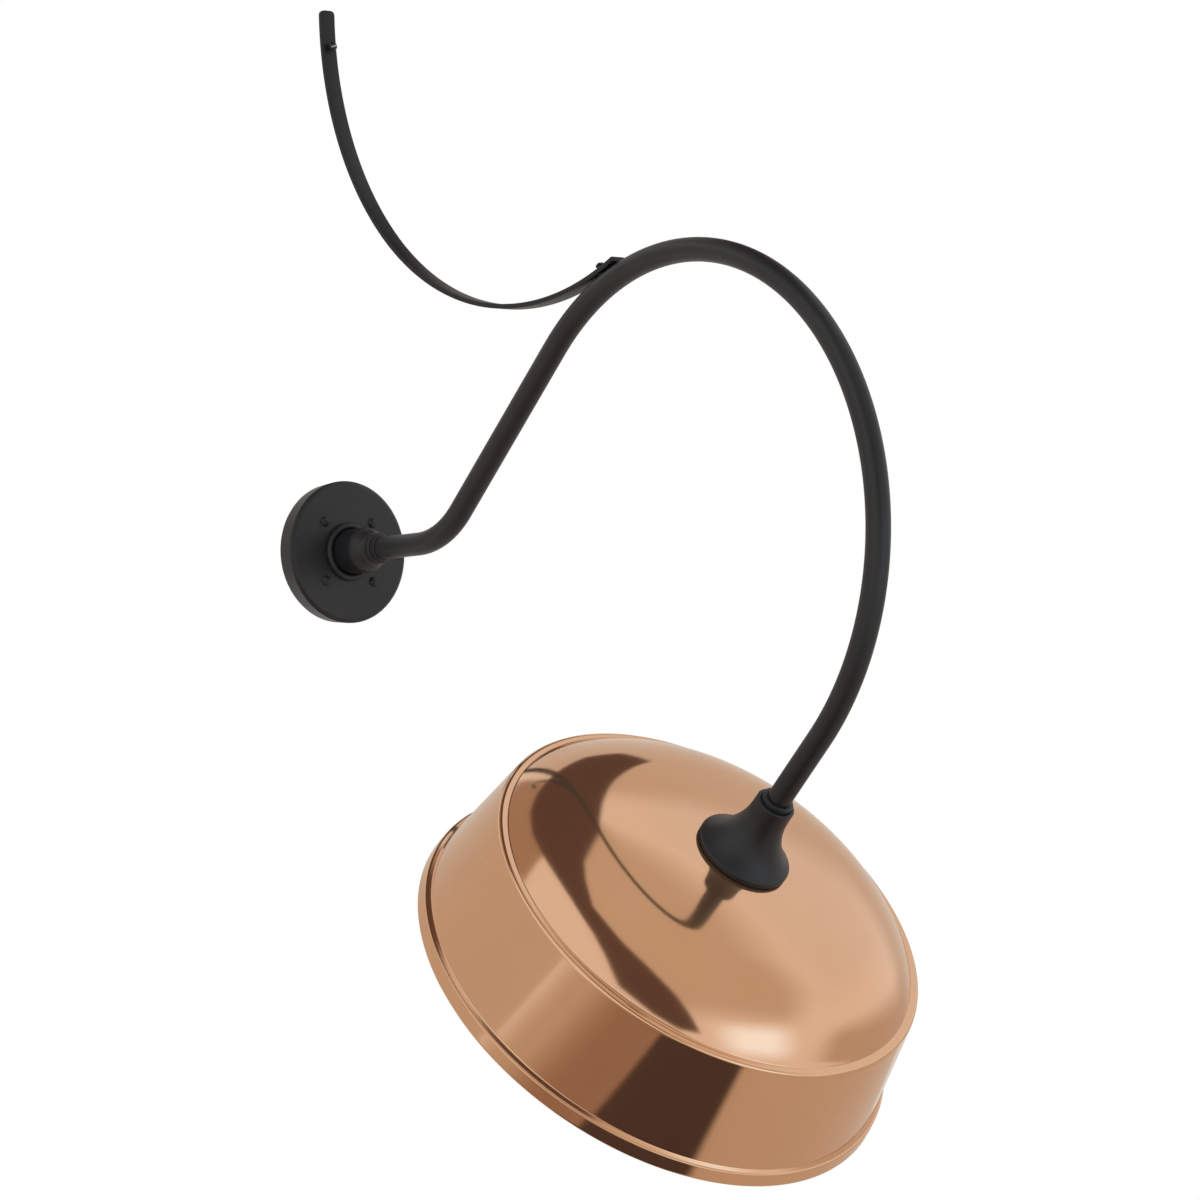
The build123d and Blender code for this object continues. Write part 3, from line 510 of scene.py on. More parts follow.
# powder_skin: the fine orange peel of baked powder coat
powder_skin, given, result = new_group(
    "powder_skin", [("Place", None), ("Peel Size", 0.0016), ("Grain", 0.3)], ["Height"],
)
per_metre = math_node(powder_skin, "DIVIDE", 1.0, given.outputs["Peel Size"])
peel = put(powder_skin, "ShaderNodeTexNoise", {
    "Vector": given.outputs["Place"], "Scale": per_metre, "Detail": 1.5, "Roughness": 0.4,
})
finer = math_node(powder_skin, "MULTIPLY", per_metre, 5.0)
specks = put(powder_skin, "ShaderNodeTexNoise", {
    "Vector": given.outputs["Place"], "Scale": finer, "Detail": 1.0,
})
grainy = math_node(powder_skin, "MULTIPLY_ADD", specks, given.outputs["Grain"], peel)
wire(powder_skin, result, {"Height": grainy})

black_paint, tree, shader, place = new_finish("black_paint")
patches = handled(tree, place, 0.07)
skin = put(tree, "ShaderNodeGroup", {"Place": place}, node_tree=powder_skin)
wire(tree, shader, {
    "Base Color": between(tree, patches, (0.008, 0.009, 0.011), (0.011, 0.012, 0.014)),
    "Roughness": ranging(tree, patches, 0.46, 0.40),
    "Specular IOR Level": 0.42,
    "Normal": relief(tree, skin, 0.25, 0.0001),
})

face_r, front_r, back_r = 58.7, 63.4, 62.0
side_end, depth, wall, gasket = 17.5, 20.0, 2.5, 1.5
canopy_hole_r, back_break = 13.3, 0.6
round_r = ((front_r - face_r) ** 2 + (depth - side_end) ** 2) / (2 * (depth - side_end))
round_end = 2 * degrees(atan2(front_r - face_r, depth - side_end)) - 90
outline = [(canopy_hole_r, depth - wall), (canopy_hole_r, depth)]
outline += arc((face_r, depth - round_r), round_r, 90, round_end, 5)
outline += rounded([
    (front_r, side_end), (back_r, gasket, back_break), (back_r - wall, gasket, back_break),
    (front_r - wall, side_end - wall),
], closed=False)
outline += arc((face_r - wall, depth - wall - round_r), round_r, round_end, 90, 8)
canopy = turned("wall_canopy_piece", outline, out_of_wall, steps=128)
fitted(canopy, "wall_part", "wall_canopy", "black_paint", black_paint)

# ---- canopy screws ------------------------------------------------------------------------------
# Four slotted round-head machine screws, blackened steel. They go through the canopy's face into
# the tapped spacers of the plate.

# worn glinting steel: the slot is bare steel where the screwdriver has rubbed the paint, and is made bright
# as a painted highlight on the slot
driven_steel, tree, shader, place = new_finish("driven_steel")
patches = handled(tree, place, 0.0015)
wire(tree, shader, {
    "Metallic": 1,
    "Base Color": between(tree, patches, (0.40, 0.40, 0.40), (0.62, 0.62, 0.61)),
    "Roughness": ranging(tree, patches, 0.30, 0.50),
})


def slotted(
    name, head_r, head_height, shank_r, length, shoulder_r=0.0, shoulder=0.0, neck_r=0.0, neck=0.0, point=0.0,
    worn_glinting_slot=False,
):
    """A slotted round-head screw in millimetres, its seat on z = 0 and its slot along x. With a worn
    glinting slot, the slot is bright bare steel: worn paint and a painted highlight."""
    rim_in, rim_up, slot_width, slot_depth = 0.3, 0.25, 1.2, 1.5
    top, point_r = shoulder + head_height, 1.2
    crown_r = (head_r ** 2 + head_height ** 2) / (2 * head_height)
    edge = 90 - degrees(atan2(head_r, crown_r - head_height))
    outline = [(0, -length - point)]
    outline += [(point_r, -length - point), (shank_r, -length)] if point else [(shank_r, -length)]
    outline += [(shank_r, -neck), (neck_r, -neck), (neck_r, 0)] if neck else [(shank_r, 0)]
    outline += [(shoulder_r, 0), (shoulder_r, shoulder)] if shoulder else []
    outline += [(head_r - rim_in, shoulder), (head_r, shoulder + rim_up)]
    outline += arc((0, top - crown_r), crown_r, edge + 3, 90, 7)[:-1] + [(0, top)]
    screw = turned(name, outline, Matrix.Identity(4), steps=40, closed=False, longest=30)
    x, y, low, high = head_r * 1.2 * mm, slot_width / 2 * mm, (top - slot_depth) * mm, (top + 1) * mm
    block = bpy.data.meshes.new("slot_block")
    block.from_pydata(
        [(i * x, j * y, k) for k in (low, high) for i, j in ((-1, -1), (1, -1), (1, 1), (-1, 1))], [],
        [(3, 2, 1, 0), (4, 5, 6, 7), (0, 1, 5, 4), (1, 2, 6, 5), (2, 3, 7, 6), (3, 0, 4, 7)],
    )
    cutter = added("slot_block", block)
    cut = screw.modifiers.new("slot", "BOOLEAN")
    cut.object, cut.operation, cut.solver = cutter, "DIFFERENCE", "EXACT"
    edges = screw.modifiers.new("edges", "BEVEL")
    edges.width, edges.segments, edges.limit_method, edges.angle_limit = 0.0001, 2, "ANGLE", radians(40)
    plain_mesh(screw)
    bpy.data.objects.remove(cutter)
    smooth_faces(screw.data)
    screw.data.materials.append(black_paint)
    # painted highlight: the slot's faces take bright bare steel, which is also worn paint
    if worn_glinting_slot:
        screw.data.materials.append(driven_steel)
        near = 2e-5
        for face in screw.data.polygons:
            inside_slot = abs(face.center.y) < y + near and face.center.z > low - near
            face.material_index = int(inside_slot and abs(face.normal.x) < 0.1)
    return screw


def geometry_tree(name, inputs):
    """A Geometry Nodes tree with named inputs, its input node and its output node."""
    tree = bpy.data.node_groups.new(name, "GeometryNodeTree")
    for socket, kind in (("Geometry", "NodeSocketGeometry"), *inputs, ("Finish", "NodeSocketMaterial")):
        tree.interface.new_socket(socket, in_out="INPUT", socket_type=kind)
    tree.interface.new_socket("Geometry", in_out="OUTPUT", socket_type="NodeSocketGeometry")
    return tree, tree.nodes.new("NodeGroupInput"), tree.nodes.new("NodeGroupOutput")


def end_tree(tree, given, result, shape):
    """Ends a tree in one real mesh with its finish."""
    real = put(tree, "GeometryNodeRealizeInstances", {"Geometry": shape})
    painted = put(tree, "GeometryNodeSetMaterial", {"Geometry": real, "Material": given.outputs["Finish"]})
    wire(tree, result, {"Geometry": painted})


def run_tree(piece, tree, **values):
    """Runs a tree on a piece with its named inputs, and keeps the result as a plain mesh."""
    modifier = piece.modifiers.new(tree.name, "NODES")
    modifier.node_group = tree
    for socket in tree.interface.items_tree:
        if socket.in_out == "INPUT" and socket.name.replace(" ", "_") in values:
            modifier[socket.identifier] = values[socket.name.replace(" ", "_")]
    return plain_mesh(piece)


# set in a circle: copies of a piece on a circle, square to the wall
in_circle, given, result = geometry_tree("set_in_a_circle", [
    ("Count", "NodeSocketInt"), ("Circle Radius", "NodeSocketFloat"), ("First Angle", "NodeSocketFloat"),
    ("Off Wall", "NodeSocketFloat"),
])
circle = put(in_circle, "GeometryNodeMeshCircle", {
    "Vertices": given.outputs["Count"], "Radius": given.outputs["Circle Radius"],
})
first_turn = put(in_circle, "ShaderNodeCombineXYZ", {"Z": given.outputs["First Angle"]})
start = put(in_circle, "GeometryNodeTransform", {"Geometry": circle, "Rotation": first_turn})
copies = put(in_circle, "GeometryNodeInstanceOnPoints", {
    "Points": start, "Instance": given.outputs["Geometry"],
})
forward = math_node(in_circle, "MULTIPLY", given.outputs["Off Wall"], -1.0)
stand_off = put(in_circle, "ShaderNodeCombineXYZ", {"Y": forward})
on_wall = put(in_circle, "GeometryNodeTransform", {
    "Geometry": copies, "Translation": stand_off, "Rotation": (pi / 2, 0, 0),
})
end_tree(in_circle, given, result, on_wall)

screw_circle_r = 37.0
canopy_screws = slotted("canopy_screws_piece", head_r=4.6, head_height=3.4, shank_r=2.4, length=15.0)
run_tree(
    canopy_screws, in_circle, Count=4, Circle_Radius=screw_circle_r * mm, First_Angle=pi / 4,
    Off_Wall=depth * mm, Finish=black_paint,
)
fitted(canopy_screws, "wall_part", "canopy_screws", "black_paint")

# ---- hub ----------------------------------------------------------------------------------------
# A turned aluminium hub that stands on the canopy: a round bead, a straight body and a shouldered
# nose. A lock nut and a toothed washer hold its shank behind the canopy, a set screw grips the tube.


def drilled(piece, place, radius, depth):
    """Drills a hole into a piece from the origin of place along its z, in millimetres."""
    rod = [(0, 0), (radius, 0), (radius, depth), (0, depth)]
    drill = turned("drill", rod, place, steps=32, closed=False, longest=60)
    cut = piece.modifiers.new("hole", "BOOLEAN")
    cut.object, cut.operation, cut.solver = drill, "DIFFERENCE", "EXACT"
    plain_mesh(piece)
    bpy.data.objects.remove(drill)
    smooth_faces(piece.data)


bead_r, bead_height, body_r = 26.0, 5.0, 20.0
body_end, shoulder_r, shoulder_end, nose_r, nose_end = 44.0, 14.5, 57.0, 13.0, 60.5
shank_r, shank_start, lead_hole_r = 13.0, 6.5, 7.0
mouth_r, mouth_floor, tube_fit_r, tube_start = 11.45, 52.5, 10.15, 26.0
set_screw_u, drill_z, set_hole_r, drill_depth = 34.0, -30.0, 2.55, 19
bead_round = (bead_r - body_r) / 2
bead_side = depth + bead_height - bead_round
shoulder_round = ((body_r - shoulder_r) ** 2 + (shoulder_end - body_end) ** 2) / (2 * (body_r - shoulder_r))
shoulder_turn = degrees(asin((shoulder_end - body_end) / shoulder_round))
outline = [(lead_hole_r, shank_start), (shank_r, shank_start), (shank_r, depth), (bead_r, depth)]
outline += arc((bead_r - bead_round, bead_side), bead_round, 0, 180, 12)
outline += arc((body_r - shoulder_round, body_end), shoulder_round, 0, shoulder_turn, 4)
outline += rounded([
    (shoulder_r, shoulder_end), (nose_r, nose_end, 0.5), (mouth_r, nose_end), (mouth_r, mouth_floor),
], closed=False)[1:]
outline += [(tube_fit_r, mouth_floor), (tube_fit_r, tube_start), (lead_hole_r, tube_start)]
hub = turned("hub_piece", outline, out_of_wall, steps=96)
drilled(hub, Matrix.Translation((0, -set_screw_u * mm, drill_z * mm)), set_hole_r, drill_depth)
fitted(hub, "wall_part", "hub", "black_paint", black_paint)
dress(zinc_steel, "hub_lockwasher", "hub_locknut")
dress(black_paint, "hub_set_screw")

# ---- collar -------------------------------------------------------------------------------------
# A turned aluminium ring round the tube, powder coated: a rounded lip and a short sleeve. It is
# pushed into the hub's mouth and closes it.
sleeve_r, lip_r, sleeve_start, lip_end, collar_end = 11.4, 13.8, 52.8, 66.1, 70.7
outline = rounded([
    (sleeve_r, nose_end), (lip_r, nose_end, 0.8), (lip_r, lip_end, 1.6), (sleeve_r, lip_end, 0.5),
    (sleeve_r, collar_end, 0.8), (tube_fit_r, collar_end), (tube_fit_r, sleeve_start),
    (sleeve_r, sleeve_start),
])
collar = turned("arm_collar_piece", outline, out_of_wall, steps=96)
fitted(collar, "wall_part", "arm_collar", "black_paint", black_paint)

# ---- gooseneck arm ------------------------------------------------------------------------------
# One 20 mm steel tube, bent twice on a former and powder coated: a level run out of the hub, a
# small bend up, a straight rise, then the big arch over to the shade.
tube_r, tube_wall = 10.1, 2.225
rise_slope, neck_slope = 43.6, 47.2
rise, tilt = radians(rise_slope), radians(neck_slope)
first_run, lower_bend_r, rise_length, arch_r = 121.5, 88.5, 185.0, 234.4
neck_drop, tube_over_rim = 290.5, 179.6


def on_arm(u, z):
    """A point in the plane of the arm: u out of the wall, z up, in millimetres."""
    return Vector((0, -u * mm, z * mm))


def straight(start, end, count):
    """Points along a straight run, its start first and its end left out."""
    (u0, z0), (u1, z1) = start, end
    return [(u0 + (u1 - u0) * k / count, z0 + (z1 - z0) * k / count) for k in range(count)]


bend_end = (first_run + lower_bend_r * sin(rise), lower_bend_r * (1 - cos(rise)))
arch_start = (bend_end[0] + rise_length * cos(rise), bend_end[1] + rise_length * sin(rise))
arch_u, arch_z = arch_start[0] + arch_r * sin(rise), arch_start[1] - arch_r * cos(rise)
arch_end = (arch_u + arch_r * cos(tilt), arch_z - arch_r * sin(tilt))
rim_u, rim_z = arch_end[0] - neck_drop * sin(tilt), arch_end[1] - neck_drop * cos(tilt)
tube_end = (rim_u + tube_over_rim * sin(tilt), rim_z + tube_over_rim * cos(tilt))
line = straight((tube_start, 0.0), (first_run, 0.0), 10)
line += arc((first_run, lower_bend_r), lower_bend_r, -90, -90 + rise_slope, 1.5)
line += straight(bend_end, arch_start, 16)[1:]
line += arc((arch_u, arch_z), arch_r, 90 + rise_slope, -neck_slope, 1.0)
line += straight(arch_end, tube_end, 10)[1:] + [tube_end]

# tube along a line: a round tube swept along the curve it is given
along_line, given, result = geometry_tree(
    "tube_along_a_line", [("Tube Radius", "NodeSocketFloat"), ("Sides", "NodeSocketInt")],
)
section = put(along_line, "GeometryNodeCurvePrimitiveCircle", {
    "Resolution": given.outputs["Sides"], "Radius": given.outputs["Tube Radius"],
})
swept = put(along_line, "GeometryNodeCurveToMesh", {
    "Curve": given.outputs["Geometry"], "Profile Curve": section,
})
end_tree(along_line, given, result, swept)

curve = bpy.data.curves.new("gooseneck_arm_piece", "CURVE")
curve.dimensions, curve.twist_mode = "3D", "MINIMUM"
spline = curve.splines.new("POLY")
spline.points.add(len(line) - 1)
for knot, (u, z) in zip(spline.points, line):
    knot.co = (*on_arm(u, z), 1)
arm = added("gooseneck_arm_piece", curve)
arm = run_tree(arm, along_line, Tube_Radius=tube_r * mm, Sides=64, Finish=black_paint)
tube_side = arm.modifiers.new("tube_wall", "SOLIDIFY")
tube_side.thickness, tube_side.offset, tube_side.use_even_offset = tube_wall * mm, -1, True
plain_mesh(arm)
smooth_faces(arm.data)
fitted(arm, "wall_part", "gooseneck_arm", "black_paint")

# ---- brace --------------------------------------------------------------------------------------
# A flat steel bar, 15 by 4.2 mm, rolled to two curves. Its top end lies flat on the wall and has
# rounded corners; its lower end lies along the tube's crown. Its edges are barely broken.
bar_width, bar_thick, bar_edge, bar_gap = 15.0, 4.2, 0.5, 0.15
upper_r, upper_turn, lower_r = 299.2, 43.5, 278.3
over_bend, past_crown, top_corner, low_corner = 3.2, 3.467, 4.0, 1.0
near_gap = lower_r + bar_thick / 2 + bar_gap + tube_r + arch_r
upper_u = bar_thick / 2 + upper_r
lower_u = upper_u - (upper_r - lower_r) * cos(radians(upper_turn))
near_turn = degrees(asin((arch_u - lower_u) / near_gap))
lower_z = arch_z + near_gap * cos(radians(near_turn))
bend_z = lower_z + (upper_r - lower_r) * sin(radians(upper_turn))
spine = [(bar_thick / 2, bend_z + over_bend)]
spine += arc((upper_u, bend_z), upper_r, 180, 180 + upper_turn, 0.75)
spine += arc((lower_u, lower_z), lower_r, 180 + upper_turn, 270 + near_turn + past_crown, 0.75)[1:]
runs = [0.0]
for (u0, z0), (u1, z1) in zip(spine, spine[1:]):
    runs.append(runs[-1] + hypot(u1 - u0, z1 - z0))
bar_length = runs[-1]


def on_spine(s):
    """The bar's middle line at a way along it: the point and its direction, in the plane of the arm."""
    i = max(k for k in range(len(runs) - 1) if runs[k] <= s + 1e-9)
    t = (s - runs[i]) / (runs[i + 1] - runs[i])
    here, there = Vector(spine[i]), Vector(spine[i + 1])
    before = Vector(spine[max(i - 1, 0)])
    after = Vector(spine[min(i + 2, len(spine) - 1)])
    ahead_here, ahead_there = (there - before).normalized(), (after - here).normalized()
    return here.lerp(there, t), ahead_here.lerp(ahead_there, t).normalized()


def half_width(s):
    """Half the bar's width at a way along it: narrower in the rounded corners of its ends."""
    cut = 0.0
    for gap, corner in ((s, top_corner), (bar_length - s, low_corner)):
        if gap < corner:
            cut = max(cut, corner - sqrt(corner ** 2 - (corner - gap) ** 2))
    return bar_width / 2 - cut


middle_length = bar_length - (top_corner + low_corner)
stops = [top_corner * (1 - cos(pi / 2 * k / 8)) for k in range(9)]
stops += [top_corner + middle_length * k / 150 for k in range(1, 151)]
stops += [bar_length - low_corner + low_corner * sin(pi / 2 * k / 4) for k in range(1, 4)] + [bar_length]
points, faces, size = [], [], 16
for s in stops:
    middle, ahead = on_spine(s)
    side = Vector((-ahead.y, ahead.x))
    for quarter, (across, out) in enumerate(((1, 1), (-1, 1), (-1, -1), (1, -1))):
        for a in (radians(90 * quarter + 30 * k) for k in range(4)):
            w = across * (half_width(s) - bar_edge) + bar_edge * cos(a)
            at = middle + side * (out * (bar_thick / 2 - bar_edge) + bar_edge * sin(a))
            points.append(Vector((w * mm, -at.x * mm, at.y * mm)))
for first in range(0, len(points) - size, size):
    faces += [
        (first + k, first + (k + 1) % size, first + size + (k + 1) % size, first + size + k)
        for k in range(size)
    ]
faces += [tuple(range(size)), tuple(range(len(points) - size, len(points)))]
mesh = bpy.data.meshes.new("brace_strap_piece")
mesh.from_pydata(points, [], faces)
brace = smooth_piece("brace_strap_piece", mesh, 32)
# painted shade: a copy of the tube's paint with less sheen, so the bar renders darker than the tube
flat_black = black_paint.copy()
flat_black.name = "flat_black"
flat_black.node_tree.nodes["Principled BSDF"].inputs["Specular IOR Level"].default_value = 0.30
fitted(brace, "wall_part", "brace_strap", "black_paint", flat_black)

# ---- brace screws -------------------------------------------------------------------------------
# A slotted shoulder screw holds the brace's top end to the wall, its head standing off the bar.
# A second one goes through the lower end into a rivet nut in the tube.
screw_drop, screw_shoulder_r, wall_screw_depth, wall_slot_turn = 30.1, 3.0, 5.0, radians(21)
screw_z = bend_z - screw_drop
seat_u = upper_u - sqrt((upper_r - bar_thick / 2) ** 2 - (screw_drop + screw_shoulder_r) ** 2)
wall_screw = slotted(
    "brace_wall_screw_piece", head_r=4.2, head_height=3.6, shank_r=2.1, length=seat_u + wall_screw_depth,
    shoulder_r=screw_shoulder_r, shoulder=4.6, neck_r=2.4, neck=seat_u, point=1.2, worn_glinting_slot=True,
)
wall_screw_place = Matrix.Translation((0, -seat_u * mm, screw_z * mm)) @ out_of_wall
wall_screw.data.transform(wall_screw_place @ Matrix.Rotation(wall_slot_turn, 4, "Z"))
fitted(wall_screw, "wall_part", "brace_wall_screw", "black_paint")

arm_screw_turn, arm_slot_turn, under_r = radians(near_turn - 1.35), radians(64), lower_r + bar_thick / 2
arm_screw_at = on_arm(lower_u + under_r * sin(arm_screw_turn), lower_z - under_r * cos(arm_screw_turn))
right, screw_up = Vector((1, 0, 0)), Vector((0, sin(arm_screw_turn), cos(arm_screw_turn)))
arm_screw_seat = bar_thick + 0.05
arm_screw_plane = Matrix((right, screw_up.cross(right), screw_up)).transposed().to_4x4()
arm_screw_place = Matrix.Translation(arm_screw_at + screw_up * arm_screw_seat * mm) @ arm_screw_plane
arm_screw = slotted(
    "brace_arm_screw_piece", head_r=4.2, head_height=3.2, shank_r=2.0, length=10.25,
    shoulder_r=screw_shoulder_r, shoulder=3.9, worn_glinting_slot=True,
)
arm_screw.data.transform(arm_screw_place @ Matrix.Rotation(arm_slot_turn, 4, "Z"))
fitted(arm_screw, "wall_part", "brace_arm_screw", "black_paint")
dress(black_paint, "arm_rivet_nut")

# ---- shade --------------------------------------------------------------------------------------
# One disc of 1 mm copper, spun over a former: a low dome, a round shoulder, a groove and a bead,
# then a flared skirt with a rolled lip. Polished and lacquered outside, left softer inside.
neck_turned = Matrix(((1, 0, 0), (0, cos(tilt), -sin(tilt)), (0, sin(tilt), cos(tilt)))).to_4x4()
neck_place = Matrix.Translation(on_arm(rim_u, rim_z)) @ neck_turned
sheet, hole_r, seat_r, seat_height, seat_break = 1.0, 8.2, 41.0, 160.0, 1.5
dome_r, from_slope, to_slope, shoulder_r = 530.0, 12.0, 47.9, 137.0
groove_depth, ledge_width, ledge_rise, skirt_height, skirt_flare = 0.9, 7.2, 0.151, 93.3, 0.169
crease_width, crease_drop, lip_width, lip_drop = 2.932, 2.1, 1.6, 0.5
lip_flare, lip_height, lip_curl = 1.7, 12.8, 3.1
dome_mid = seat_height - sqrt(dome_r ** 2 - seat_r ** 2)
seat_slope, to_shoulder = degrees(asin(seat_r / dome_r)), dome_r - shoulder_r
shoulder_mid = (to_shoulder * sin(radians(from_slope)), dome_mid + to_shoulder * cos(radians(from_slope)))
outside = [(hole_r, seat_height), (seat_r - seat_break, seat_height)]
outside += arc((0, dome_mid), dome_r, 90 - seat_slope - 0.15, 90 - from_slope, 0.25)
outside += arc(shoulder_mid, shoulder_r, 90 - from_slope - 0.8, 90 - to_slope, 0.8)
valley = (outside[-1][0] + groove_depth / tan(radians(to_slope)), outside[-1][1] - groove_depth)
ledge = (valley[0] + ledge_width, valley[1] + ledge_rise)
foot = (ledge[0] + skirt_flare * skirt_height, ledge[1] - skirt_height)
crease = (foot[0] + crease_width, foot[1] - crease_drop)
lip_top = (crease[0] + lip_width, crease[1] - lip_drop)
lip_bottom = (lip_top[0] + lip_flare, lip_top[1] - lip_height)
lip_end = (lip_bottom[0] - lip_curl, lip_bottom[1])
outside += rounded([
    outside[-1], (*valley, 2.0), (*ledge, 4.0), (*foot, 1.5), (*crease, 1.2), (*lip_top, 1.6),
    (*lip_bottom, 2.2), lip_end,
], closed=False)[1:]
# the inside lies a sheet's thickness in, with fewer points round the bends
inside = []
for i, (r, h) in enumerate(outside):
    before, after = outside[max(i - 1, 0)], outside[min(i + 1, len(outside) - 1)]
    way = Vector((after[0] - before[0], after[1] - before[1])).normalized()
    inside.append((r + way.y * sheet, h - way.x * sheet))
last = len(inside) - 1
inside[0], inside[last] = (hole_r, seat_height - sheet), (lip_end[0], lip_end[1] + sheet)
kept, wide = [inside[0]], 4
for i in range(1, last):
    (r0, h0), (r1, h1) = inside[i - 1], inside[i + 1]
    if i % 2 == 0 or hypot(r1 - r0, h1 - h0) > wide:
        kept.append(inside[i])
kept.append(inside[last])
shade = turned("shade_piece", outside + kept[::-1], neck_place, steps=240, longest=9.0)
outside_end = sum(hypot(r1 - r0, h1 - h0) * mm for (r0, h0), (r1, h1) in zip(outside, outside[1:]))
along = shade.data.uv_layers[0].data
for face in shade.data.polygons:
    face_way = sum(along[k].uv.y for k in face.loop_indices) / face.loop_total
    face.material_index = int(face_way > outside_end + 0.3 * mm)

# turning marks: rings left by the spinning tool, and the long slow waves of hand-spun sheet
turning_marks, given, result = new_group("turning_marks", [
    ("Turn And Way", None), ("Place", None), ("Ring Size", 0.0012), ("Wave", 0.6),
], ["Height"])
way = put(turning_marks, "ShaderNodeSeparateXYZ", {0: given.outputs["Turn And Way"]})
scaled = math_node(turning_marks, "DIVIDE", way.outputs["Y"], given.outputs["Ring Size"])
rings = put(turning_marks, "ShaderNodeTexNoise", {
    "W": scaled, "Scale": 1.0, "Detail": 3.0, "Roughness": 0.6,
}, noise_dimensions="1D")
waves = put(turning_marks, "ShaderNodeTexNoise", {
    "Vector": given.outputs["Place"], "Scale": 26.0, "Detail": 1.0,
})
height = math_node(turning_marks, "MULTIPLY_ADD", waves, given.outputs["Wave"], rings)
wire(turning_marks, result, {"Height": height})


def copper_finish(name, low, high, smooth, rough, ring_size, depth_of_marks):
    """Copper, from the brighter to the more handled patches, with its turning marks."""
    copper, tree, shader, place = new_finish(name)
    patches = handled(tree, place, 0.11)
    marks = put(tree, "ShaderNodeGroup", {
        "Turn And Way": place.node.outputs["UV"], "Place": place, "Ring Size": ring_size,
    }, node_tree=turning_marks)
    wire(tree, shader, {
        "Metallic": 0.94,
        "Base Color": between(tree, patches, low, high),
        "Roughness": ranging(tree, patches, smooth, rough),
        "Normal": relief(tree, marks, 1.0, depth_of_marks),
    })
    return copper, tree, shader


polished_copper, tree, shader = copper_finish(
    "polished_copper", low=(0.715, 0.42, 0.25), high=(0.695, 0.40, 0.235),
    smooth=0.085, rough=0.115, ring_size=0.0016, depth_of_marks=0.0000025,
)
wire(tree, shader, {"Coat Weight": 0.15, "Coat Roughness": 0.04})
spun_copper, tree, shader = copper_finish(
    "spun_copper", low=(0.66, 0.36, 0.22), high=(0.60, 0.31, 0.18),
    smooth=0.24, rough=0.32, ring_size=0.0010, depth_of_marks=0.000012,
)
fitted(shade, "shade_head", "shade", "copper", polished_copper, spun_copper)

# ---- neck cap -----------------------------------------------------------------------------------
# A turned aluminium cap, powder coated: a flange on the shade, a cove up to a lip, and a recess on
# top for the collar. It turns on the tube's end; a set screw at its back locks it.
flange_base, flange_height, flange_r, hollow_r = 160.6, 4.2, 40.3, 30
cove_foot_r, cove_foot_slope, cove_r, cove_from, cove_to = 38.4, 36, 52.5, 144, 92
lip_r, recess_r, recess, cap_top = 16.6, 13.7, 213.5, 218.1
cap_bore_r, bore_start, hollow_top_r = 10.18, 178.6, 12.0
set_screw_height, drill_start, drill_depth = 198.6, 9.0, 18
cove_foot = flange_base + flange_height + (flange_r - cove_foot_r) * tan(radians(cove_foot_slope))
heading = radians(cove_from)
cove_mid = (cove_foot_r + cove_r * sin(heading), cove_foot - cove_r * cos(heading))
cove = arc(cove_mid, cove_r, 90 + cove_from, 90 + cove_to, 3)
outline = rounded([
    (hollow_r, flange_base), (flange_r, flange_base, 1.0), (flange_r, flange_base + flange_height, 1.6),
    cove[0],
], closed=False)
outline += cove[1:]
outline += rounded(
    [cove[-1], (lip_r, cap_top, 1.2), (recess_r, cap_top, 0.4), (recess_r, recess)], closed=False,
)[1:]
outline += [(cap_bore_r, recess), (cap_bore_r, bore_start), (hollow_top_r, bore_start)]
cap = turned("neck_cap_piece", outline, neck_place, steps=128)
drill_place = neck_place @ Matrix.Translation((0, drill_start * mm, set_screw_height * mm))
drilled(cap, drill_place @ Matrix.Rotation(-pi / 2, 4, "X"), set_hole_r, drill_depth)
fitted(cap, "shade_head", "neck_cap", "black_paint", black_paint)
dress(black_paint, "neck_set_screw")

# ---- neck collar --------------------------------------------------------------------------------
# A turned aluminium ring round the tube, powder coated, that lies in the cap's recess and stays
# with the tube when the cap turns.
ring_r, ring_start, ring_end = 13.4, 213.8, 222.8
outline = rounded([
    (tube_fit_r, ring_start), (ring_r, ring_start), (ring_r, ring_end, 1.4), (tube_fit_r, ring_end, 0.3),
])
neck_collar = turned("neck_collar_piece", outline, neck_place, steps=96)
fitted(neck_collar, "wall_part", "neck_collar", "black_paint", black_paint)

# ---- nipple, washer and lock nuts ---------------------------------------------------------------
# A short threaded steel pipe up the tube's end, zinc plated, with the washer and nuts that carry
# the shade and the lamp holder.
dress(zinc_steel, "arm_nipple", "neck_washer", "neck_locknuts")

# ---- lamp holder cup ----------------------------------------------------------------------------
# A drawn steel cup, zinc plated, with a round top edge and a rolled mouth. Two slotted screws go
# through its sides into the porcelain.
cup_top, cup_height, cup_r, cup_wall, cup_hole_r = 152.2, 24, 22.0, 1, 8.125
cup_mouth, cup_in = cup_top - cup_height, cup_r - cup_wall
outline = rounded([
    (cup_hole_r, cup_top), (cup_r, cup_top, 2.4), (cup_r, cup_mouth, 0.3), (cup_in, cup_mouth, 0.3),
    (cup_in, cup_top - cup_wall, 1.4), (cup_hole_r, cup_top - cup_wall),
])
cup = turned("socket_cup_piece", outline, neck_place, steps=96)
fitted(cup, "wall_part", "socket_cup", "zinc_steel", zinc_steel)
dress(zinc_steel, "socket_screws")

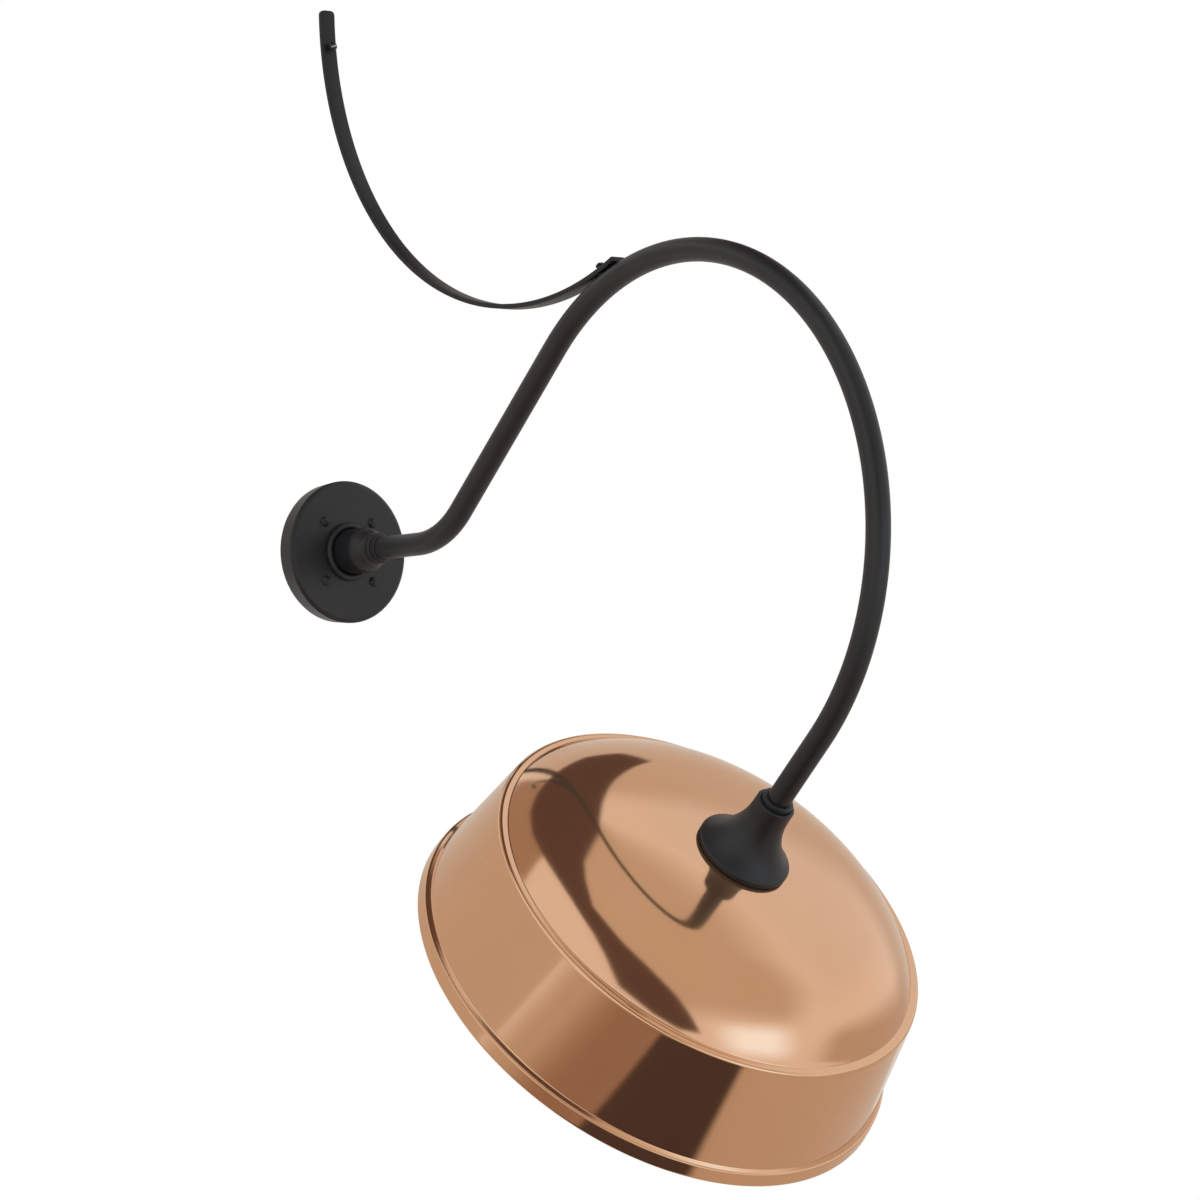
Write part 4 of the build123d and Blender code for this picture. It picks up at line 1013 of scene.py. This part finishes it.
# ---- porcelain ----------------------------------------------------------------------------------
# The body of the lamp holder: white porcelain, glazed, with a groove round it and a rounded mouth,
# and bored for the screw shell. It is held in the cup by two screws.
porcelain, tree, shader, place = new_finish("porcelain")
patches = handled(tree, place, 0.006)
wavy = put(tree, "ShaderNodeTexNoise", {"Vector": place, "Scale": 160, "Detail": 2})
wire(tree, shader, {
    "Base Color": between(tree, patches, (0.80, 0.785, 0.74), (0.85, 0.84, 0.80)),
    "Roughness": 0.22,
    "Coat Weight": 0.8,
    "Coat Roughness": 0.06,
    "Normal": relief(tree, wavy, 0.4, 0.0001),
})
body_r, body_low, body_high, shell_top = 20.6, 91.2, 137.2, 119.2
groove_r, groove_low, groove_high = body_r - 0.5, body_low + 10, body_low + 12
bore_r, bore_edge_r, bore_edge = 13.65, 14.6, 1.2
outline = rounded([
    (0, body_high), (body_r, body_high, 0.8), (body_r, groove_high, 0.6), (groove_r, groove_high - 0.6),
    (groove_r, groove_low + 0.6), (body_r, groove_low, 0.6), (body_r, body_low, 2.5),
    (bore_edge_r, body_low, 0.9), (bore_r, body_low + bore_edge), (bore_r, shell_top), (0, shell_top),
], closed=False)
holder = turned("socket_body_piece", outline, neck_place, steps=96, closed=False)
fitted(holder, "wall_part", "socket_body", "porcelain", porcelain)

# ---- screw shell and contact --------------------------------------------------------------------
# A thin brass shell with a rolled thread for the lamp's base. Its floor is open in the middle,
# where the pressed brass contact sits.
brass, tree, shader, place = new_finish("brass")
patches = handled(tree, place, 0.004)
wire(tree, shader, {
    "Metallic": 1,
    "Base Color": between(tree, patches, (0.72, 0.52, 0.20), (0.60, 0.42, 0.15)),
    "Roughness": ranging(tree, patches, 0.20, 0.34),
})

thread_r, thread_depth, pitch, thin, run_in = 13.36, 0.17, 3.63, 0.12, 2.5
shell_low, shell_high, steps, rows = 93.2, shell_top - 0.6, 64, 85
points, faces = [], []
for side in (0.5, -0.5):
    for h in (shell_low + (shell_high - shell_low) * k / (rows - 1) for k in range(rows)):
        run_out = min(1, (h - shell_low) / run_in, (shell_high - h) / run_in)
        for k in range(steps):
            a = 2 * pi * k / steps
            r = thread_r + side * thin + thread_depth * cos(2 * pi * (h / pitch - k / steps)) * run_out
            points.append(neck_place @ (Vector((r * cos(a), r * sin(a), h)) * mm))
inner, high = rows * steps, (rows - 1) * steps
for k in range(steps):
    after = (k + 1) % steps
    for row in range(0, high, steps):
        a, b = row + k, row + after
        faces += [(a, b, b + steps, a + steps), (a + inner, a + inner + steps, b + inner + steps, b + inner)]
    faces += [
        (after, k, k + inner, after + inner),
        (k + high, after + high, after + high + inner, k + high + inner),
    ]
mesh = bpy.data.meshes.new("thread_mesh")
mesh.from_pydata(points, [], faces)
thread = smooth_piece("socket_shell_piece", mesh, 50)
fitted(thread, "wall_part", "socket_shell", "brass", brass)

eye_r, rim_r, rim_in, rim_low = 3.8, 13.45, 13.2, shell_top - 0.8
floor_low = shell_top - 0.5
outline = rounded([
    (eye_r, shell_top), (rim_r, shell_top, 0.4), (rim_r, rim_low), (rim_in, rim_low),
    (rim_in, floor_low, 0.2), (eye_r, floor_low, 0.2),
])
shell_floor = turned("socket_shell_floor", outline, neck_place, steps=64)
shell_floor.data.materials.append(brass)
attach(shell_floor, "wall_part")

contact_form = ((0, 0), (2.4, 0), (2.4, 0.3), (2.1, 0.55), (0.9, 0.6), (0, 0.45))
outline = [(r, shell_top - down) for r, down in contact_form]
contact = turned("socket_contact_piece", outline, neck_place, steps=32, closed=False)
fitted(contact, "wall_part", "socket_contact", "brass", brass)

# ---- leads --------------------------------------------------------------------------------------
# Two insulated copper leads, black and white, and a bare one for ground. They run from the wall
# box through the tube to the lamp holder.
for name, lead, metallic, low, high, rough in (
    ("black_insulation", "live_lead", 0, (0.018, 0.018, 0.019), (0.026, 0.026, 0.027), 0.5),
    ("white_insulation", "neutral_lead", 0, (0.76, 0.76, 0.74), (0.82, 0.82, 0.80), 0.45),
    ("bare_copper", "ground_lead", 1, (0.64, 0.34, 0.20), (0.52, 0.26, 0.15), 0.3),
):
    skin, tree, shader, place = new_finish(name)
    patches = handled(tree, place, 0.004)
    wire(tree, shader, {
        "Metallic": metallic,
        "Base Color": between(tree, patches, low, high),
        "Roughness": ranging(tree, patches, rough, rough + 0.1),
    })
    dress(skin, lead)

# ---- bounds of the shown pieces -----------------------------------------------------------------
low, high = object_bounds()
